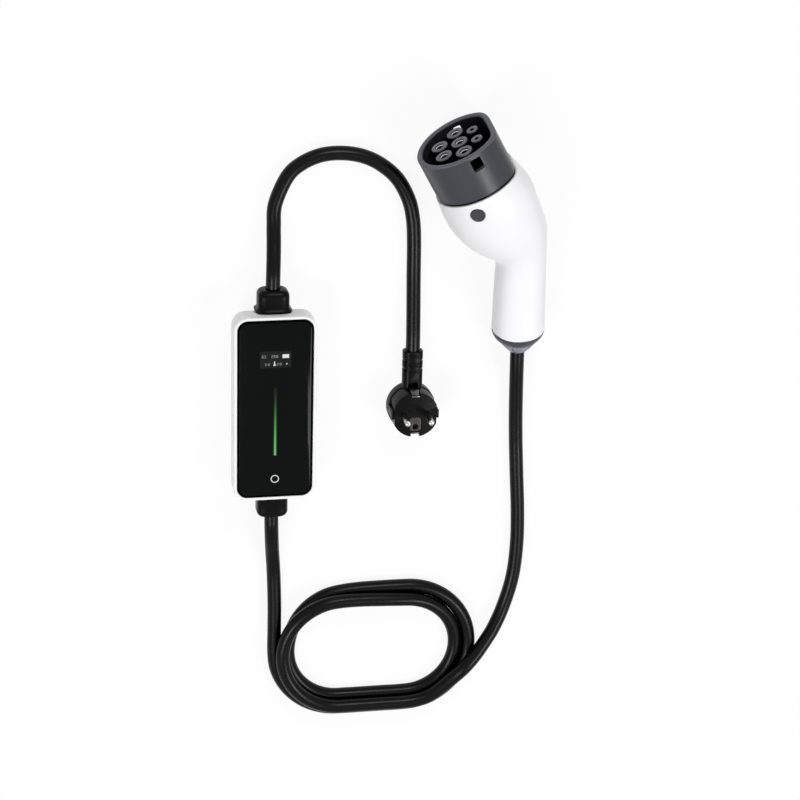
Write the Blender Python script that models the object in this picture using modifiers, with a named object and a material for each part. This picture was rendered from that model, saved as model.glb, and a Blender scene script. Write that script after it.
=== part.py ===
"""Portable charging cable: mains plug, control box and vehicle connector on one lead.

Everything lies on the surface z = 0. The origin is the centre of the control box's
flat back, the box's front looks up (+Z), and its mains side looks along +Y.
Units are metres, and angles are degrees until they are used.
"""

import math

import bmesh
import bpy
from mathutils import Euler, Matrix, Vector
from mathutils.geometry import interpolate_bezier

# Fits
GAP = 0.0003
MERGE = 0.00001
SEGMENTS = 28

# Control box
BOX_WIDTH = 0.0655
BOX_LENGTH = 0.154
BOX_DEPTH = 0.036
SEAM_HEIGHT = 0.018
BOX_WALL = 0.0024
BOX_CORNER = 0.011
REAR_DRAFT = 20.0
BACK_FILLET = 0.0025
FRONT_FILLET = 0.0012
PANEL_MARGIN = 0.0026
GLASS_THICKNESS = 0.0018
LEDGE_WIDTH = 0.003
LEDGE_THICKNESS = 0.0015

# What shows in the glass: window and key from the box's ends, the light line between them
WINDOW_WIDTH = 0.0246
WINDOW_LENGTH = 0.0138
WINDOW_INSET = 0.0348
KEY_INSET = 0.0181
KEY_RADIUS = 0.0042
LINE_WIDTH = 0.0018
LINE_BELOW_WINDOW = 0.0170
LINE_ABOVE_KEY = 0.0202
MODULE_MARGIN = 0.002
WINDOW_Y = BOX_LENGTH / 2 - WINDOW_INSET
KEY_Y = KEY_INSET - BOX_LENGTH / 2
LINE_TOP = WINDOW_Y - WINDOW_LENGTH / 2 - LINE_BELOW_WINDOW
LINE_FOOT = KEY_Y + LINE_ABOVE_KEY
LINE_LENGTH = LINE_TOP - LINE_FOOT
LINE_Y = (LINE_TOP + LINE_FOOT) / 2

# Circuit boards and what they carry, in a column from the mains end: width, length and height
BOARD_THICKNESS = 0.0016
BOARD_CLEARANCE = 0.0015
STANDOFF_HEIGHT = 0.004
STANDOFF_RADIUS = 0.003
STANDOFF_SIDE = 0.0068
STANDOFF_END = 0.0043
FRONT_BOARD_THICKNESS = 0.0012
FRONT_BOARD_MARGIN = 0.004
RELAY_SIZE = (0.0125, 0.029, 0.0145)
RELAY_PITCH = 0.0150
RELAY_COUNT = 2
POWER_SUPPLY_SIZE = (0.024, 0.030, 0.0140)
POWER_SUPPLY_X = -0.006
CAPACITOR_RADIUS = 0.004
CAPACITOR_HEIGHT = 0.014
CAPACITOR_PITCH = 0.0095
CAPACITOR_COUNT = 2
CAPACITOR_X = 0.0155
SENSOR_RADIUS = 0.0085
SENSOR_BORE = 0.0045
SENSOR_HEIGHT = 0.009
TERMINAL_SIZE = (0.034, 0.011, 0.012)
TERMINAL_WAYS = 3
TERMINAL_WELL = 0.0028

# Cable and its boots on the box
CABLE_DIAMETER = 0.0115
BOOT_RADIUS = 0.0126
BOOT_FOOT_RADIUS = 0.0147
BOOT_FOOT = 0.003
UPPER_BOOT_LENGTH = 0.0180
LOWER_BOOT_LENGTH = 0.0200
BOOT_SHOULDER = 0.006
BOOT_LIP = 0.0012
BOOT_NECK_RADIUS = 0.0085
BOOT_FLANGE_RADIUS = 0.0105
BOOT_FLANGE = 0.0022

# Screws in the box's back
SCREW_HEAD_RADIUS = 0.0024
SCREW_HEAD = 0.0012
SCREW_SHANK_RADIUS = 0.0013
SCREW_LENGTH = 0.0095
SCREW_SIDE = 0.01375
SCREW_END = 0.0150
SCREW_X = BOX_WIDTH / 2 - SCREW_SIDE
SCREW_Y = BOX_LENGTH / 2 - SCREW_END
POST_RADIUS = 0.0032
POST_ROOM = 0.0005

# Vehicle connector, in its own frame: +Y along the grip, +Z to its left side
CONNECTOR_PLACE = (0.19875, 0.03497, 0.01526)
CONNECTOR_YAW = 3.0
CONNECTOR_PITCH = 8.5
COUPLER_BEND = 25.8
COUPLER_CENTRE = 0.0360
SHELL_REACH = 0.1535
SHROUD_LENGTH = 0.0379
RIM_REACH = SHELL_REACH + SHROUD_LENGTH
SHROUD_RADIUS = 0.0350
SHROUD_FLAT = 0.0290
SHROUD_WALL = 0.0042
SHROUD_CORNER = 0.006
RIM_FILLET = 0.0012
CAVITY_DEPTH = 0.0290
SPIGOT_LENGTH = 0.0100
SHELL_WALL = 0.0026
SHELL_PROUD = 0.0012
COLLAR_SEAL = 0.0010
CAP_REACH = 0.0200
CAP_SPIGOT = 0.0060
CAP_BORE = 0.0080
NUT_REACH = 0.0075
NUT_RADIUS = 0.0135
NUT_TIP_RADIUS = 0.0088
NUT_FLUTES = 10
NUT_FLUTE_RADIUS = 0.0014
CLAMP_ROOM = 0.005
CLAMP_LENGTH = 0.009
CLAMP_REACH = CAP_REACH + CAP_SPIGOT + CLAMP_ROOM + CLAMP_LENGTH
CLAMP_RADIUS = 0.0105
CORE_RADIUS = 0.0014
CORE_CIRCLE = 0.0033
BADGE_RADIUS = 0.0058
BADGE_DEPTH = 0.0012
BADGE_STATION = 0.93
BADGE_TURN = 112.0

# The grip's sections between the cap and the collar. Belly and back each run beside a straight
# line from the cap to the collar: share of the way, swell off the line; then half width,
# squareness, likeness to the collar
GRIP_SECTIONS = (
    (0.1742, -0.00935, 0.1578, 0.00438, 0.0185, 0.86, 0.0),
    (0.3331, -0.01839, 0.3155, 0.00880, 0.0192, 0.86, 0.0),
    (0.4272, -0.02341, 0.4606, 0.01292, 0.0205, 0.88, 0.0),
    (0.4831, -0.02224, 0.5491, 0.01524, 0.0232, 0.88, 0.05),
    (0.5427, -0.01569, 0.6260, 0.01647, 0.0272, 0.88, 0.15),
    (0.6288, -0.00837, 0.6966, 0.01505, 0.0308, 0.88, 0.3),
    (0.7477, -0.00222, 0.7878, 0.01286, 0.0339, 0.88, 0.5),
    (0.8719, 0.00022, 0.8758, 0.01057, 0.0356, 0.90, 0.8),
)
CAP_HALF_WIDTH = 0.0182
GRIP_HALF = 0.02125
GRIP_SQUARENESS = 0.86
STATIONS = 20
HALF_POINTS = 14

# Contacts of the coupler: places across (left) and up (towards the flat) from the centre
CONTACT_PITCH = 0.0170
UPPER_ROW = 0.0130
LOWER_ROW = -0.0152
POWER_TOWER_RADIUS = 0.0066
POWER_BORE_RADIUS = 0.0041
SIGNAL_TOWER_RADIUS = 0.0046
SIGNAL_BORE_RADIUS = 0.0025
TOWER_RECESS = 0.0020
CONTACT_WALL = 0.0009
CONTACT_RECESS = 0.0035
CONTACT_SLOT = 0.0008
CONTACT_SLOT_LENGTH = 0.012
CONTACT_ROOT = 0.003
CONTACT_SIDES = 10
BORE_DEPTH = 0.0234
CARRIER_THICKNESS = 0.0041
LOCK_WIDTH = 0.0088
LOCK_LENGTH = 0.0108
LOCK_SETBACK = 0.0034
LOCK_OFFSET = 0.0045

# Mains plug, lying on its back with the pins up
PLUG_PLACE = (0.1142, -0.0128)
PLUG_RADIUS = 0.0188
PLUG_FLAT = 0.0170
PLUG_HEIGHT = 0.0290
PLUG_BACK = 0.0120
PLUG_BACK_RADIUS = 0.0195
PLUG_BACK_FILLET = 0.0030
GUIDE_WIDTH = 0.0068
GUIDE_REACH = 0.0192
PIN_PITCH = 0.0190
PIN_RADIUS = 0.0024
PIN_LENGTH = 0.0190
PIN_ROOT = 0.0060
EARTH_WIDTH = 0.0066
EARTH_CHANNEL = 0.0040
EARTH_STRIP = 0.0010
SOCKET_WIDTH = 0.0090
SOCKET_LENGTH = 0.0115
SOCKET_Y = -0.0078
SOCKET_HOLE_Y = -0.0105
SOCKET_HOLE_RADIUS = 0.0024
SOCKET_DEPTH = 0.0100
RELIEF_REACH = 0.0490
RELIEF_RADIUS = 0.0082
RELIEF_CORE = 0.0062
RELIEF_HEIGHT = 0.0100
RELIEF_RIBS = 5
RELIEF_RIB = 0.0040
RELIEF_GROOVE = 0.0022

# Coil of the vehicle lead: a flat oval of turns, and where the lead leaves it
COIL_CENTRE = (0.0870, -0.2280)
COIL_HALF_RUN = 0.02775
COIL_TURN_RADIUS = 0.0545
COIL_TURNS = 2
COIL_HEIGHT = 0.0230
COIL_ENTRY_RISE = 0.0395
COIL_EXIT = (0.1810, -0.2300)
COIL_EXIT_HEADING = 56.0
COIL_EXIT_LINE = 0.0118
COIL_STUB = 0.026

# Leads, as points of their centre lines
FLOOR_LINE = CABLE_DIAMETER / 2
MAINS_ROUTE = (
    (0.0002, 0.1070, 0.0176),
    (0.0008, 0.1190, 0.0148),
    (0.0015, 0.1310, 0.0102),
    (0.0018, 0.1430, 0.0070),
    (0.0030, 0.1600, FLOOR_LINE),
    (0.0120, 0.1810, FLOOR_LINE),
    (0.0226, 0.1912, FLOOR_LINE),
    (0.0377, 0.1978, FLOOR_LINE),
    (0.0541, 0.1992, FLOOR_LINE),
    (0.0706, 0.1965, FLOOR_LINE),
    (0.0854, 0.1894, FLOOR_LINE),
    (0.0990, 0.1773, FLOOR_LINE),
    (0.1082, 0.1607, FLOOR_LINE),
    (0.1122, 0.1447, FLOOR_LINE),
    (0.1136, 0.1260, FLOOR_LINE),
    (0.1140, 0.0980, 0.0060),
    (0.1142, 0.0700, 0.0080),
    (0.1142, 0.0500, 0.0098),
)
BOX_SIDE_ROUTE = (
    (0.0002, -0.1090, 0.0176),
    (0.0010, -0.1220, 0.0145),
    (0.0022, -0.1350, 0.0098),
    (0.0034, -0.1480, 0.0068),
    (0.0042, -0.1620, FLOOR_LINE),
)
CONNECTOR_SIDE_ROUTE = (
    (0.1992, 0.0200, 0.0138),
    (0.2003, -0.0020, 0.0106),
    (0.2016, -0.0260, 0.0076),
    (0.2032, -0.0520, FLOOR_LINE),
    (0.2050, -0.0800, FLOOR_LINE),
    (0.2070, -0.1100, FLOOR_LINE),
    (0.2076, -0.1400, FLOOR_LINE),
    (0.2052, -0.1700, FLOOR_LINE),
    (0.1984, -0.1960, 0.0066),
    (0.1900, -0.2150, 0.0092),
)
LEAD_STEP = 2.0
SQUARE_RUN = 0.004


def clear_scene():
    """Remove whatever objects the file holds."""
    for old in list(bpy.data.objects):
        bpy.data.objects.remove(old, do_unlink=True)


clear_scene()
parts = bpy.data.collections.new("charging_cable")
cutters = bpy.data.collections.new("cutters")
bpy.context.scene.collection.children.link(parts)
bpy.context.scene.collection.children.link(cutters)


def make_material(name, colour, roughness, metallic=0.0):
    """A Principled material with one plain colour."""
    made = bpy.data.materials.new(name)
    made.use_nodes = True
    shader = made.node_tree.nodes["Principled BSDF"]
    shader.inputs["Base Color"].default_value = (*colour, 1.0)
    shader.inputs["Roughness"].default_value = roughness
    shader.inputs["Metallic"].default_value = metallic
    return made


WHITE = make_material("white_housing", (0.86, 0.87, 0.88), 0.35)
GLASS = make_material("black_glass", (0.006, 0.007, 0.007), 0.08)
WINDOW = make_material("smoked_window", (0.03, 0.035, 0.04), 0.1)
GREEN = make_material("green_light", (0.1, 0.7, 0.15), 0.3)
RUBBER = make_material("black_rubber", (0.012, 0.012, 0.013), 0.45)
JACKET = make_material("cable_jacket", (0.010, 0.010, 0.011), 0.3)
SLATE = make_material("slate_plastic", (0.105, 0.105, 0.120), 0.45)
CARRIER = make_material("black_plastic", (0.010, 0.010, 0.014), 0.4)
TOWER = make_material("grey_tower", (0.20, 0.20, 0.23), 0.4)
METAL = make_material("plated_metal", (0.80, 0.79, 0.77), 0.2, 1.0)
BRASS = make_material("brass", (0.78, 0.58, 0.30), 0.3, 1.0)
BOARD = make_material("circuit_board", (0.02, 0.16, 0.07), 0.5)
BLOCK = make_material("component_black", (0.03, 0.03, 0.035), 0.4)
BLUE = make_material("relay_blue", (0.05, 0.12, 0.35), 0.4)
COPPER = make_material("core_wire", (0.30, 0.12, 0.05), 0.5)


def put(name, mesh, material=None, place=(0, 0, 0), turn=(0, 0, 0), parent=None):
    """Make an object of a mesh: a part with its material, or a cutter without one."""
    made = bpy.data.objects.new(name, mesh)
    made.location = place
    made.rotation_euler = [math.radians(angle) for angle in turn]
    made.parent = parent
    if material is None:
        cutters.objects.link(made)
        made.hide_render = True
        made.display_type = "WIRE"
    else:
        parts.objects.link(made)
        made.data.materials.append(material)
    return made


def empty(name, place, turn, parent=None):
    """A frame that pieces are placed in."""
    made = bpy.data.objects.new(name, None)
    parts.objects.link(made)
    made.location = place
    made.rotation_euler = [math.radians(angle) for angle in turn]
    made.parent = parent
    return made


def finish_mesh(name, build, angle=35.0):
    """Turn a bmesh into a closed mesh whose faces point out, shaded smooth between its edges."""
    bmesh.ops.remove_doubles(build, verts=build.verts, dist=MERGE)
    bmesh.ops.recalc_face_normals(build, faces=build.faces)
    mesh = bpy.data.meshes.new(name)
    build.to_mesh(mesh)
    build.free()
    mesh.shade_smooth()
    mesh.set_sharp_from_angle(angle=math.radians(angle))
    return mesh


def loft(name, rings, closed=False):
    """Skin rings of equally many points, capped at both ends or joined end to start."""
    build = bmesh.new()
    rows = [[build.verts.new(point) for point in ring] for ring in rings]
    count = len(rows[0])
    pairs = list(zip(rows, rows[1:]))
    if closed:
        pairs.append((rows[-1], rows[0]))
    for low, high in pairs:
        for i in range(count):
            j = (i + 1) % count
            build.faces.new((low[i], low[j], high[j], high[i]))
    if not closed:
        build.faces.new(rows[0][::-1])
        build.faces.new(rows[-1])
    return finish_mesh(name, build)


def block(name, size, centre=(0, 0, 0), bevel=0.0):
    """A box of a size about a centre, its edges bevelled if asked."""
    build = bmesh.new()
    bmesh.ops.create_cube(build, size=1.0)
    bmesh.ops.scale(build, vec=size, verts=build.verts)
    if bevel:
        bmesh.ops.bevel(build, geom=build.edges[:], offset=bevel, segments=1, affect="EDGES")
    bmesh.ops.translate(build, vec=centre, verts=build.verts)
    return finish_mesh(name, build)


def rod(name, radius, length, segments=SEGMENTS, base=0.0):
    """A cylinder along +Z that stands on a base height."""
    build = bmesh.new()
    bmesh.ops.create_cone(build, cap_ends=True, segments=segments, radius1=radius,
                          radius2=radius, depth=length)
    bmesh.ops.translate(build, vec=(0, 0, base + length / 2), verts=build.verts)
    return finish_mesh(name, build)


def turned(name, profile, material=None, segments=SEGMENTS, **where):
    """An object turned about Z from radii and heights that run down its outer side.

    A profile that doesn't start and end on the axis is closed on itself.
    """
    build = bmesh.new()
    points = [build.verts.new((radius, 0, height)) for radius, height in profile]
    for first, second in zip(points, points[1:]):
        build.edges.new((first, second))
    if profile[0][0] > 0:
        build.edges.new((points[-1], points[0]))
    mesh = bpy.data.meshes.new(name)
    build.to_mesh(mesh)
    build.free()
    made = put(name, mesh, material, **where)
    screw = made.modifiers.new("turn", "SCREW")
    screw.steps = segments
    screw.render_steps = segments
    screw.use_merge_vertices = True
    screw.merge_threshold = MERGE
    return made


def plate(name, outlines, thickness, material=None, **where):
    """A flat piece of closed outlines, the inner ones holes, centred on its own plane."""
    curve = bpy.data.curves.new(name, "CURVE")
    curve.dimensions = "2D"
    curve.fill_mode = "BOTH"
    curve.extrude = thickness / 2
    for outline in outlines:
        spline = curve.splines.new("POLY")
        spline.points.add(len(outline) - 1)
        spline.use_cyclic_u = True
        for place, point in zip(spline.points, outline):
            place.co = (point[0], point[1], 0, 1)
    flat = bpy.data.objects.new(name, curve)
    parts.objects.link(flat)
    graph = bpy.context.evaluated_depsgraph_get()
    mesh = bpy.data.meshes.new_from_object(flat.evaluated_get(graph))
    bpy.data.objects.remove(flat, do_unlink=True)
    build = bmesh.new()
    build.from_mesh(mesh)
    return put(name, finish_mesh(name, build), material, **where)


def tube(name, points, radius, material, resolution=2, parent=None):
    """A plain round tube with flat ends through the given points."""
    curve = bpy.data.curves.new(name, "CURVE")
    curve.dimensions = "3D"
    curve.bevel_depth = radius
    curve.bevel_resolution = resolution
    curve.use_fill_caps = True
    spline = curve.splines.new("POLY")
    spline.points.add(len(points) - 1)
    for place, point in zip(spline.points, points):
        place.co = (*point, 1.0)
    made = bpy.data.objects.new(name, curve)
    made.parent = parent
    parts.objects.link(made)
    curve.materials.append(material)
    return made


def boolean(target, tools, operation):
    """Cut or join objects with exact Booleans, one after another."""
    for tool in tools:
        step = target.modifiers.new(operation.lower(), "BOOLEAN")
        step.operation = operation
        step.solver = "EXACT"
        step.object = tool


def arc(centre_x, centre_y, radius, start, stop, steps):
    """Points along an arc between two angles in degrees."""
    points = []
    for step in range(steps + 1):
        angle = math.radians(start + (stop - start) * step / steps)
        points.append((centre_x + radius * math.cos(angle), centre_y + radius * math.sin(angle)))
    return points


def rounded_rectangle(width, length, radius, steps=5):
    """Points round a rectangle with arcs at its corners."""
    x = width / 2 - radius
    y = length / 2 - radius
    points = arc(x, y, radius, 0, 90, steps) + arc(-x, y, radius, 90, 180, steps)
    return points + arc(-x, -y, radius, 180, 270, steps) + arc(x, -y, radius, 270, 360, steps)


def stadium(half_run, radius, steps=14):
    """Points round a long outline with round ends."""
    return arc(half_run, 0, radius, -90, 90, steps) + arc(-half_run, 0, radius, 90, 270, steps)


# Control box housings

def box_ring(inset, height):
    """The box's outline, drawn in by an inset, at a height."""
    corner = max(BOX_CORNER - inset, BOX_WALL / 2)
    outline = rounded_rectangle(BOX_WIDTH - 2 * inset, BOX_LENGTH - 2 * inset, corner)
    return [Vector((x, y, height)) for x, y in outline]


def rear_inset(height):
    """How far the drafted rear wall stands in from the outline at a height."""
    return (SEAM_HEIGHT - height) * math.tan(math.radians(REAR_DRAFT))


def fillet(radius, steps=3):
    """Insets and drops of a quarter round, from the side to the flat."""
    pairs = []
    for step in range(steps + 1):
        angle = math.radians(90 * step / steps)
        pairs.append((radius * (1 - math.cos(angle)), radius * (1 - math.sin(angle))))
    return pairs


def end_cutter(name, radius, start, length, sign):
    """A cylinder along the box's length at an end, at the height of the cable."""
    mesh = rod(name, radius, length)
    return put(name, mesh, place=(0, sign * start, SEAM_HEIGHT), turn=(-90 * sign, 0, 0))


def make_housings():
    """The rear and front shells of the control box."""
    half = BOX_LENGTH / 2
    top = SEAM_HEIGHT - GAP / 2
    rings = [box_ring(rear_inset(drop) + inset, drop) for inset, drop in reversed(fillet(BACK_FILLET))]
    rings.append(box_ring(0, top))
    rings.append(box_ring(BOX_WALL, top))
    rings.append(box_ring(rear_inset(BOX_WALL) + BOX_WALL, BOX_WALL))
    rear = put("rear_housing", loft("rear_housing", rings), WHITE)
    passages = []
    for sign in (1, -1):
        pad = end_cutter("boot_pad", BOOT_FOOT_RADIUS, half - BOX_WALL * 2, BOX_WALL * 2, sign)
        above = block("pad_trim", (BOX_WIDTH, BOX_WIDTH, BOX_DEPTH))
        trim = put("pad_trim", above, place=(0, sign * half, top + BOX_DEPTH / 2))
        boolean(pad, [trim], "DIFFERENCE")
        boolean(rear, [pad], "UNION")
        deep = BOX_WALL + BOOT_FLANGE + 2 * GAP
        passages.append(end_cutter("neck_way", BOOT_NECK_RADIUS + GAP, half - deep * 2, deep * 3, sign))
        passages.append(end_cutter("flange_way", BOOT_FLANGE_RADIUS + GAP, half - deep * 2,
                                   deep * 2 - BOX_WALL, sign))
    boolean(rear, passages + [screw_way(x, y) for x, y in screw_places()], "DIFFERENCE")

    low = SEAM_HEIGHT + GAP / 2
    ledge_top = BOX_DEPTH - GLASS_THICKNESS - GAP
    ledge_low = ledge_top - LEDGE_THICKNESS
    rings = [box_ring(0, low)]
    rings += [box_ring(inset, BOX_DEPTH - drop) for inset, drop in fillet(FRONT_FILLET)]
    rings.append(box_ring(PANEL_MARGIN, BOX_DEPTH))
    rings.append(box_ring(PANEL_MARGIN, ledge_top))
    rings.append(box_ring(PANEL_MARGIN + LEDGE_WIDTH, ledge_top))
    rings.append(box_ring(PANEL_MARGIN + LEDGE_WIDTH, ledge_low))
    rings.append(box_ring(BOX_WALL, ledge_low))
    rings.append(box_ring(BOX_WALL, low))
    front = put("front_housing", loft("front_housing", rings, closed=True), WHITE)
    posts = []
    foot = BOX_WALL + GAP
    reach = PANEL_MARGIN + LEDGE_WIDTH - POST_ROOM
    for x, y in screw_places():
        posts.append(put("screw_post", rod("screw_post", POST_RADIUS, ledge_top - foot, 16),
                         place=(x, y, foot)))
        near = Vector((x, y)) - Vector((math.copysign(POST_RADIUS / 2, x), 0))
        far = Vector((math.copysign(BOX_WIDTH / 2 - reach, x), math.copysign(BOX_LENGTH / 2 - reach, y)))
        middle = (near + far) / 2
        web = block("post_web", (abs(far.x - near.x), abs(far.y - near.y), LEDGE_THICKNESS))
        posts.append(put("post_web", web, place=(*middle, ledge_low + LEDGE_THICKNESS / 2)))
    boolean(front, posts, "UNION")
    boolean(front, passages + [post_bore(x, y) for x, y in screw_places()], "DIFFERENCE")


def screw_places():
    """Where the four housing screws stand in the back."""
    return [(x, y) for x in (-SCREW_X, SCREW_X) for y in (-SCREW_Y, SCREW_Y)]


def screw_way(x, y):
    """The counterbored hole of one screw, cut from the back."""
    head = SCREW_HEAD_RADIUS + GAP
    shank = SCREW_SHANK_RADIUS + GAP
    seat = SCREW_HEAD + GAP
    profile = [(0, BOX_WALL * 2), (shank, BOX_WALL * 2), (shank, seat), (head, seat),
               (head, -seat), (0, -seat)]
    return turned("screw_way", profile, segments=16, place=(x, y, 0))


def post_bore(x, y):
    """The blind hole that a screw runs up in its post."""
    mesh = rod("post_bore", SCREW_SHANK_RADIUS + GAP, SCREW_LENGTH + POST_RADIUS, 16)
    return put("post_bore", mesh, place=(x, y, -GAP))


def make_screws():
    """The four screws that hold the housings together, heads in the back."""
    socket = SCREW_HEAD_RADIUS / 2
    profile = [(0, SCREW_LENGTH), (SCREW_SHANK_RADIUS, SCREW_LENGTH),
               (SCREW_SHANK_RADIUS, SCREW_HEAD), (SCREW_HEAD_RADIUS, SCREW_HEAD),
               (SCREW_HEAD_RADIUS, GAP), (socket, GAP), (socket, SCREW_HEAD / 2),
               (0, SCREW_HEAD / 2)]
    for index, (x, y) in enumerate(screw_places(), 1):
        turned(f"housing_screw_{index}", profile, METAL, segments=12, place=(x, y, 0))


def make_boot(name, length, sign):
    """A moulded sleeve on the cable: flange inside, neck in the wall, body outside."""
    outer = CABLE_DIAMETER / 2 + BOOT_LIP
    inside = -BOX_WALL - GAP
    profile = [(0, length), (outer, length)]
    for inset, drop in reversed(fillet(BOOT_SHOULDER, 4)):
        profile.append((BOOT_RADIUS - inset, length - drop))
    profile[2] = (max(BOOT_RADIUS - BOOT_SHOULDER, outer), length)
    profile += [(BOOT_RADIUS, BOOT_FOOT), (BOOT_FOOT_RADIUS, GAP), (BOOT_NECK_RADIUS, GAP),
                (BOOT_NECK_RADIUS, inside), (BOOT_FLANGE_RADIUS, inside),
                (BOOT_FLANGE_RADIUS, inside - BOOT_FLANGE), (0, inside - BOOT_FLANGE)]
    turned(name, profile, RUBBER, place=(0, sign * BOX_LENGTH / 2, SEAM_HEIGHT),
           turn=(-90 * sign, 0, 0))


def make_glass():
    """The glass front with its window, its light bar and what lies behind them."""
    ledge_top = BOX_DEPTH - GLASS_THICKNESS - GAP
    middle = BOX_DEPTH - GLASS_THICKNESS / 2
    inset = PANEL_MARGIN + GAP
    outline = rounded_rectangle(BOX_WIDTH - 2 * inset, BOX_LENGTH - 2 * inset, BOX_CORNER - inset)
    glass = plate("glass_panel", [outline], GLASS_THICKNESS, GLASS, place=(0, 0, middle))
    window = put("window_way", block("window_way", (WINDOW_WIDTH, WINDOW_LENGTH, BOX_DEPTH)),
                 place=(0, WINDOW_Y, BOX_DEPTH))
    line = plate("line_way", [stadium_along_y(LINE_WIDTH, LINE_LENGTH)], BOX_DEPTH,
                 place=(0, LINE_Y, BOX_DEPTH))
    boolean(glass, [window, line], "DIFFERENCE")
    put("display_window", block("display_window", (WINDOW_WIDTH - 2 * GAP, WINDOW_LENGTH - 2 * GAP,
                                                   GLASS_THICKNESS)), WINDOW, place=(0, WINDOW_Y, middle))
    board_top = ledge_top - LEDGE_THICKNESS - GAP
    reach = BOX_DEPTH - board_top - GAP
    plate("light_guide", [stadium_along_y(LINE_WIDTH - 2 * GAP, LINE_LENGTH - 2 * GAP)], reach, GREEN,
          place=(0, LINE_Y, BOX_DEPTH - reach / 2))
    rise = ledge_top - board_top - GAP
    module = (WINDOW_WIDTH + 2 * MODULE_MARGIN, WINDOW_LENGTH + 2 * MODULE_MARGIN, rise)
    put("display_module", block("display_module", module, bevel=GAP), BLOCK,
        place=(0, WINDOW_Y, board_top + GAP + rise / 2))
    turned("touch_sensor", [(0, rise), (KEY_RADIUS, rise), (KEY_RADIUS, 0), (0, 0)], BRASS,
           segments=16, place=(0, KEY_Y, board_top + GAP))
    width = 2 * (SCREW_X - POST_RADIUS - POST_ROOM)
    length = BOX_LENGTH - 2 * FRONT_BOARD_MARGIN
    put("front_board", block("front_board", (width, length, FRONT_BOARD_THICKNESS)), BOARD,
        place=(0, 0, board_top - FRONT_BOARD_THICKNESS / 2))


def stadium_along_y(width, length):
    """A slot outline that is round at both ends and runs along Y."""
    return [(-y, x) for x, y in stadium(length / 2 - width / 2, width / 2, 5)]


def board_column(length, sizes):
    """The middles of components that share the board's spare length evenly, from its mains end."""
    room = (length - sum(sizes)) / (len(sizes) + 1)
    middles = []
    edge = length / 2
    for size in sizes:
        middles.append(edge - room - size / 2)
        edge -= room + size
    return middles


def make_board():
    """The main board on its standoffs, with its components."""
    floor = BOX_WALL + GAP
    low = floor + STANDOFF_HEIGHT + GAP
    top = low + BOARD_THICKNESS + GAP
    room = rear_inset(low) + BOX_WALL + BOARD_CLEARANCE
    width = BOX_WIDTH - 2 * room
    length = 2 * (SCREW_Y - POST_RADIUS - POST_ROOM)
    put("main_board", block("main_board", (width, length, BOARD_THICKNESS)), BOARD,
        place=(0, 0, low + BOARD_THICKNESS / 2))
    sizes = (TERMINAL_SIZE[1], RELAY_SIZE[1], POWER_SUPPLY_SIZE[1], SENSOR_RADIUS * 2)
    terminal_y, relay_y, supply_y, sensor_y = board_column(length, sizes)
    side, end = width / 2 - STANDOFF_SIDE, length / 2 - STANDOFF_END
    places = [(x, y) for x in (-side, side) for y in (-end, end)]
    for index, (x, y) in enumerate(places, 1):
        put(f"board_standoff_{index}", rod("board_standoff", STANDOFF_RADIUS, STANDOFF_HEIGHT, 6), BRASS,
            place=(x, y, floor))
    for index in range(RELAY_COUNT):
        x = (index - (RELAY_COUNT - 1) / 2) * RELAY_PITCH
        put(f"relay_{index + 1}", block("relay", RELAY_SIZE, bevel=GAP), BLUE,
            place=(x, relay_y, top + RELAY_SIZE[2] / 2))
    put("power_supply", block("power_supply", POWER_SUPPLY_SIZE, bevel=GAP), BLOCK,
        place=(POWER_SUPPLY_X, supply_y, top + POWER_SUPPLY_SIZE[2] / 2))
    for index in range(CAPACITOR_COUNT):
        y = supply_y + (index - (CAPACITOR_COUNT - 1) / 2) * CAPACITOR_PITCH
        put(f"capacitor_{index + 1}", rod("capacitor", CAPACITOR_RADIUS, CAPACITOR_HEIGHT, 16), BLOCK,
            place=(CAPACITOR_X, y, top))
    ring = [(SENSOR_RADIUS, SENSOR_HEIGHT), (SENSOR_RADIUS, 0), (SENSOR_BORE, 0),
            (SENSOR_BORE, SENSOR_HEIGHT)]
    turned("residual_current_sensor", ring, BLOCK, segments=20, place=(0, sensor_y, top))
    terminal = put("terminal_block", block("terminal_block", TERMINAL_SIZE, bevel=GAP), BLOCK,
                   place=(0, terminal_y, top + TERMINAL_SIZE[2] / 2))
    pitch = TERMINAL_SIZE[0] / TERMINAL_WAYS
    for index in range(TERMINAL_WAYS):
        x = (index - (TERMINAL_WAYS - 1) / 2) * pitch
        well = put("terminal_well", rod("terminal_well", TERMINAL_WELL, TERMINAL_SIZE[2], 12),
                   place=(x, terminal_y, top + TERMINAL_SIZE[2] / 2))
        boolean(terminal, [well], "DIFFERENCE")


# Vehicle connector

connector = empty("connector_frame", CONNECTOR_PLACE, (CONNECTOR_PITCH, 0, CONNECTOR_YAW))
BEND = math.radians(COUPLER_BEND)
coupler = empty("coupler_frame",
                (COUPLER_CENTRE * math.cos(BEND), COUPLER_CENTRE * math.sin(BEND), 0),
                (-90, 0, COUPLER_BEND), connector)
FLAT_WAY = Vector((math.cos(BEND), math.sin(BEND), 0))
COUPLER_WAY = Vector((-math.sin(BEND), math.cos(BEND), 0))


def soft_least(value, limit, blend):
    """The smaller of two values, eased into each other over a blend."""
    share = min(max(0.5 + 0.5 * (limit - value) / blend, 0.0), 1.0)
    return limit + (value - limit) * share - blend * share * (1 - share)


def collar_point(turn, radius, flat):
    """A point of the collar's round outline, cut by its flat, at an angle from the flat."""
    across = radius * math.sin(turn)
    up = soft_least(radius * math.cos(turn), flat, SHROUD_CORNER)
    return up, across


def collar_ring(shrink, height, count=SEGMENTS + 12):
    """The collar's outline, drawn in by a wall, at a height along the coupler."""
    points = []
    for index in range(count):
        up, across = collar_point(math.tau * index / count, SHROUD_RADIUS - shrink, SHROUD_FLAT - shrink)
        points.append(Vector((up, across, height)))
    return points


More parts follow.
